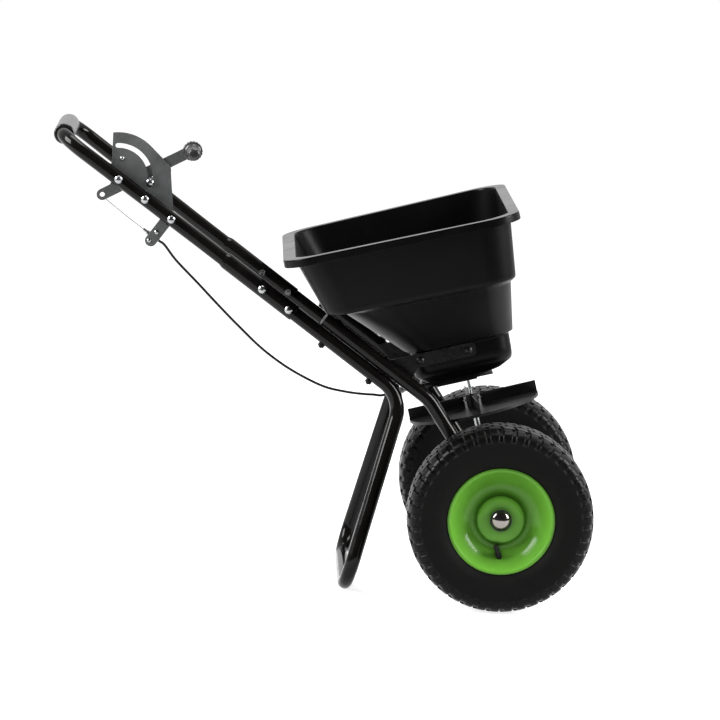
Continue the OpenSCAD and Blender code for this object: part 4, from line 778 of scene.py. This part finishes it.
KNOB_X, KNOB_N, LEVER_FACE = 75.46, 117.7, 16.3
FLUTES, FLUTE_DEPTH = 18, 1.25
CABLE_R, SLEEVE_END_R, WIRE_R = 2.3, 2.4, 0.8
CABLE_N, CABLE_Y = -46.5, 20.4  # where the cable is clamped under the handle tube
CABLE_ROUTE = ((-600, -116, 567), (-560, -116, 530), (-520, -115, 492), (-480, -109, 455), (-440, -101, 420),
               (-400, -93, 392), (-360, -83, 370), (-320, -72, 353), (-280, -54, 344), (-250, -32, 339),
               (-230, -14, 336.5))
WIRE_W = 223.5  # the shutter wire, along the hopper's upright
HOOK_X, HOOK_N, HOOK_Y = 3.638, -44.286, 22.0  # where the wire is hooked into the lever's tail

knob = Shape()
collar = rounded(
    [(2.6, 0), (17.5, 0), (17.5, 12), (14.5, 12.8), (11.6, 15.5), (11.6, 50), (9.6, 54), (5, 55.8), (0, 56)],
    {1: 0.8, 2: 1.0, 3: 1.0, 4: 1.5, 5: 2.5, 6: 2, 7: 2}, 4)


def fluted(angle, r, z):
    """The radius of the knob, whose collar has flutes."""
    if z > 12.2 or r < 15:
        return r
    wave = math.cos(FLUTES * angle)
    return r - FLUTE_DEPTH * step(wave, 0.1, 0.95) * step(12.4 - z, 0, 0.8)


knob.lathe(collar, from_lever(KNOB_X, LEVER_FACE - 0.1, KNOB_N), -LEVER_Y, ACROSS, n=216, radius=fluted)
knob.make("knob", "knob_plastic", "lever", ["lever_knob"])

cable = Shape()
route = [from_lever(k, CABLE_Y, CABLE_N) for k in (116.6, 128.5, 140.5)]
route += [machine(*p) for p in CABLE_ROUTE]
route += [from_hopper(-160, -2, WIRE_W), from_hopper(-148.5, 0, WIRE_W)]
cable.sweep(smooth_line(route, 8), CABLE_R, n=20)
cable.sweep([from_hopper(-149, 0, WIRE_W), from_hopper(-128, 0, WIRE_W)], SLEEVE_END_R, n=20)
cable.make("cable", "cable_jacket", "frame", ["outer_cable"])

wire = Shape()
wire_line = bent([from_lever(HOOK_X, 15.1, HOOK_N), from_lever(HOOK_X, HOOK_Y, HOOK_N),
                  from_lever(HOOK_X + 12, HOOK_Y, HOOK_N - 0.6), from_lever(60, 20.8, CABLE_N),
                  from_lever(116, CABLE_Y, CABLE_N)], [1.2, 30, 60])
dense = [wire_line[0]]
for p in wire_line[1:]:
    m = max(1, math.ceil((p - dense[-1]).length / 0.002))
    dense += [dense[-1].lerp(p, (k + 1) / m) for k in range(m)]
wire.sweep(dense, WIRE_R, n=12)
inner = wire.make("lever_wire", "steel", weighted=False, stands_for=["inner_wire"])
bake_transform(inner)

# ------------------------------------------------------------------ floor, light and camera

FLOOR_COLOUR, FLOOR_GLOW = (0.55, 0.55, 0.55), 0.82
FLOOR_HALF, FLOOR_NEAR, FLOOR_PARTS = 9.0, -1.7, 24
ROOM, WHITE, AMBIENT = 0.06, 1.0, 0.4
TARGET = Vector((0, 0, 0.4))
# each lamp's name, place, width, height and watts
LAMPS = (
    ("soft_left", (-2.6, -0.9, 2.0), 1.4, 2.0, 215),
    ("soft_right", (3.2, -0.9, 2.0), 1.4, 2.0, 215),
    ("soft_top", (0.2, 0.3, 3.2), 1.6, 1.6, 60),
)
EYE, LENS, SENSOR, FAR = (-0.1779, -7.9499, 1.4854), 222.02, 36, 100
PITCH, YAW, ROLL = math.radians(7.909), math.radians(1.257), math.radians(4.065)


def stage_white(name, colour, glow):
    """A pale diffuse surface that glows to the camera and in reflections, and keeps its shadows."""
    material = bpy.data.materials.new(name)
    material.use_nodes = True
    tree = material.node_tree
    tree.nodes.clear()
    link = tree.links.new
    out = node(tree, "ShaderNodeOutputMaterial")
    matt = node(tree, "ShaderNodeBsdfDiffuse")
    matt.inputs["Color"].default_value = (*colour, 1)
    light = node(tree, "ShaderNodeEmission")
    rays = node(tree, "ShaderNodeLightPath")
    seen = math_of(tree, "MAXIMUM", rays.outputs["Is Camera Ray"], rays.outputs["Is Glossy Ray"])
    also = math_of(tree, "MAXIMUM", seen, rays.outputs["Is Transmission Ray"])
    strength = node(tree, "ShaderNodeMath", operation="MULTIPLY")
    strength.inputs[1].default_value = glow
    link(also, strength.inputs[0])
    link(strength.outputs[0], light.inputs["Strength"])
    both = node(tree, "ShaderNodeAddShader")
    link(matt.outputs[0], both.inputs[0])
    link(light.outputs[0], both.inputs[1])
    link(both.outputs[0], out.inputs[0])
    return material


ground = bpy.data.meshes.new("floor")
across = [-FLOOR_HALF + 2 * FLOOR_HALF * i / FLOOR_PARTS for i in range(FLOOR_PARTS + 1)]
away = [FLOOR_NEAR + (FLOOR_HALF - FLOOR_NEAR) * j / FLOOR_PARTS for j in range(FLOOR_PARTS + 1)]
row = FLOOR_PARTS + 1
squares = [(k, k + 1, k + row + 1, k + row) for j in range(FLOOR_PARTS) for k in range(j * row, j * row + FLOOR_PARTS)]
ground.from_pydata([(x, y, 0.0) for y in away for x in across], [], squares)
ground.materials.append(stage_white("floor_white", FLOOR_COLOUR, FLOOR_GLOW))
floor = bpy.data.objects.new("floor", ground)
bpy.context.scene.collection.objects.link(floor)

world = bpy.data.worlds.new("studio")
bpy.context.scene.world = world
world.use_nodes = True
tree = world.node_tree
tree.nodes.clear()
link = tree.links.new
sky = node(tree, "ShaderNodeBackground")
sky.inputs["Color"].default_value = (1, 1, 1, 1)
link(sky.outputs[0], node(tree, "ShaderNodeOutputWorld").inputs[0])
rays = node(tree, "ShaderNodeLightPath")
coord = node(tree, "ShaderNodeTexCoord")
parts = node(tree, "ShaderNodeSeparateXYZ")
link(coord.outputs["Generated"], parts.inputs[0])
# in reflections, the room behind the camera is darker than the white behind the object
room = map_range(tree, parts.outputs["Y"], -0.35, 0.3, ROOM, WHITE, interpolation_type="SMOOTHSTEP")
# the sky's own light comes only from above the horizon
above_floor = map_range(tree, parts.outputs["Z"], -0.1, 0.35, 0.0, AMBIENT, interpolation_type="SMOOTHSTEP")
mirror = math_of(tree, "MAXIMUM", rays.outputs["Is Glossy Ray"], rays.outputs["Is Transmission Ray"])
lit = node(tree, "ShaderNodeMix", data_type="FLOAT")
link(above_floor, lit.inputs["A"])
link(mirror, lit.inputs["Factor"])
link(room, lit.inputs["B"])
shown = node(tree, "ShaderNodeMix", data_type="FLOAT")
shown.inputs["B"].default_value = WHITE
link(rays.outputs["Is Camera Ray"], shown.inputs["Factor"])
link(lit.outputs[0], shown.inputs["A"])
link(shown.outputs[0], sky.inputs["Strength"])

for name, place, width, height, watts in LAMPS:
    light = bpy.data.lights.new(name, "AREA")
    light.shape = "RECTANGLE"
    light.size, light.size_y, light.energy = width, height, watts
    lamp = bpy.data.objects.new(name, light)
    bpy.context.scene.collection.objects.link(lamp)
    lamp.location = place
    lamp.rotation_euler = (TARGET - Vector(place)).to_track_quat("-Z", "Y").to_euler()

camera = bpy.data.cameras.new("camera")
camera.sensor_width = SENSOR
camera.lens = LENS
camera.clip_end = FAR
eye = bpy.data.objects.new("camera", camera)
bpy.context.scene.collection.objects.link(eye)
roll = Matrix.Rotation(-ROLL, 3, "Y")
right = roll @ Vector((math.cos(YAW), -math.sin(YAW), 0))
forward = roll @ Vector((math.sin(YAW) * math.cos(PITCH), math.cos(YAW) * math.cos(PITCH), -math.sin(PITCH)))
above = right.cross(forward)
eye.matrix_world = Matrix.Translation(EYE) @ Matrix((right, above, -forward)).transposed().to_4x4()
bpy.context.scene.camera = eye
bpy.context.scene.view_settings.view_transform = "Standard"
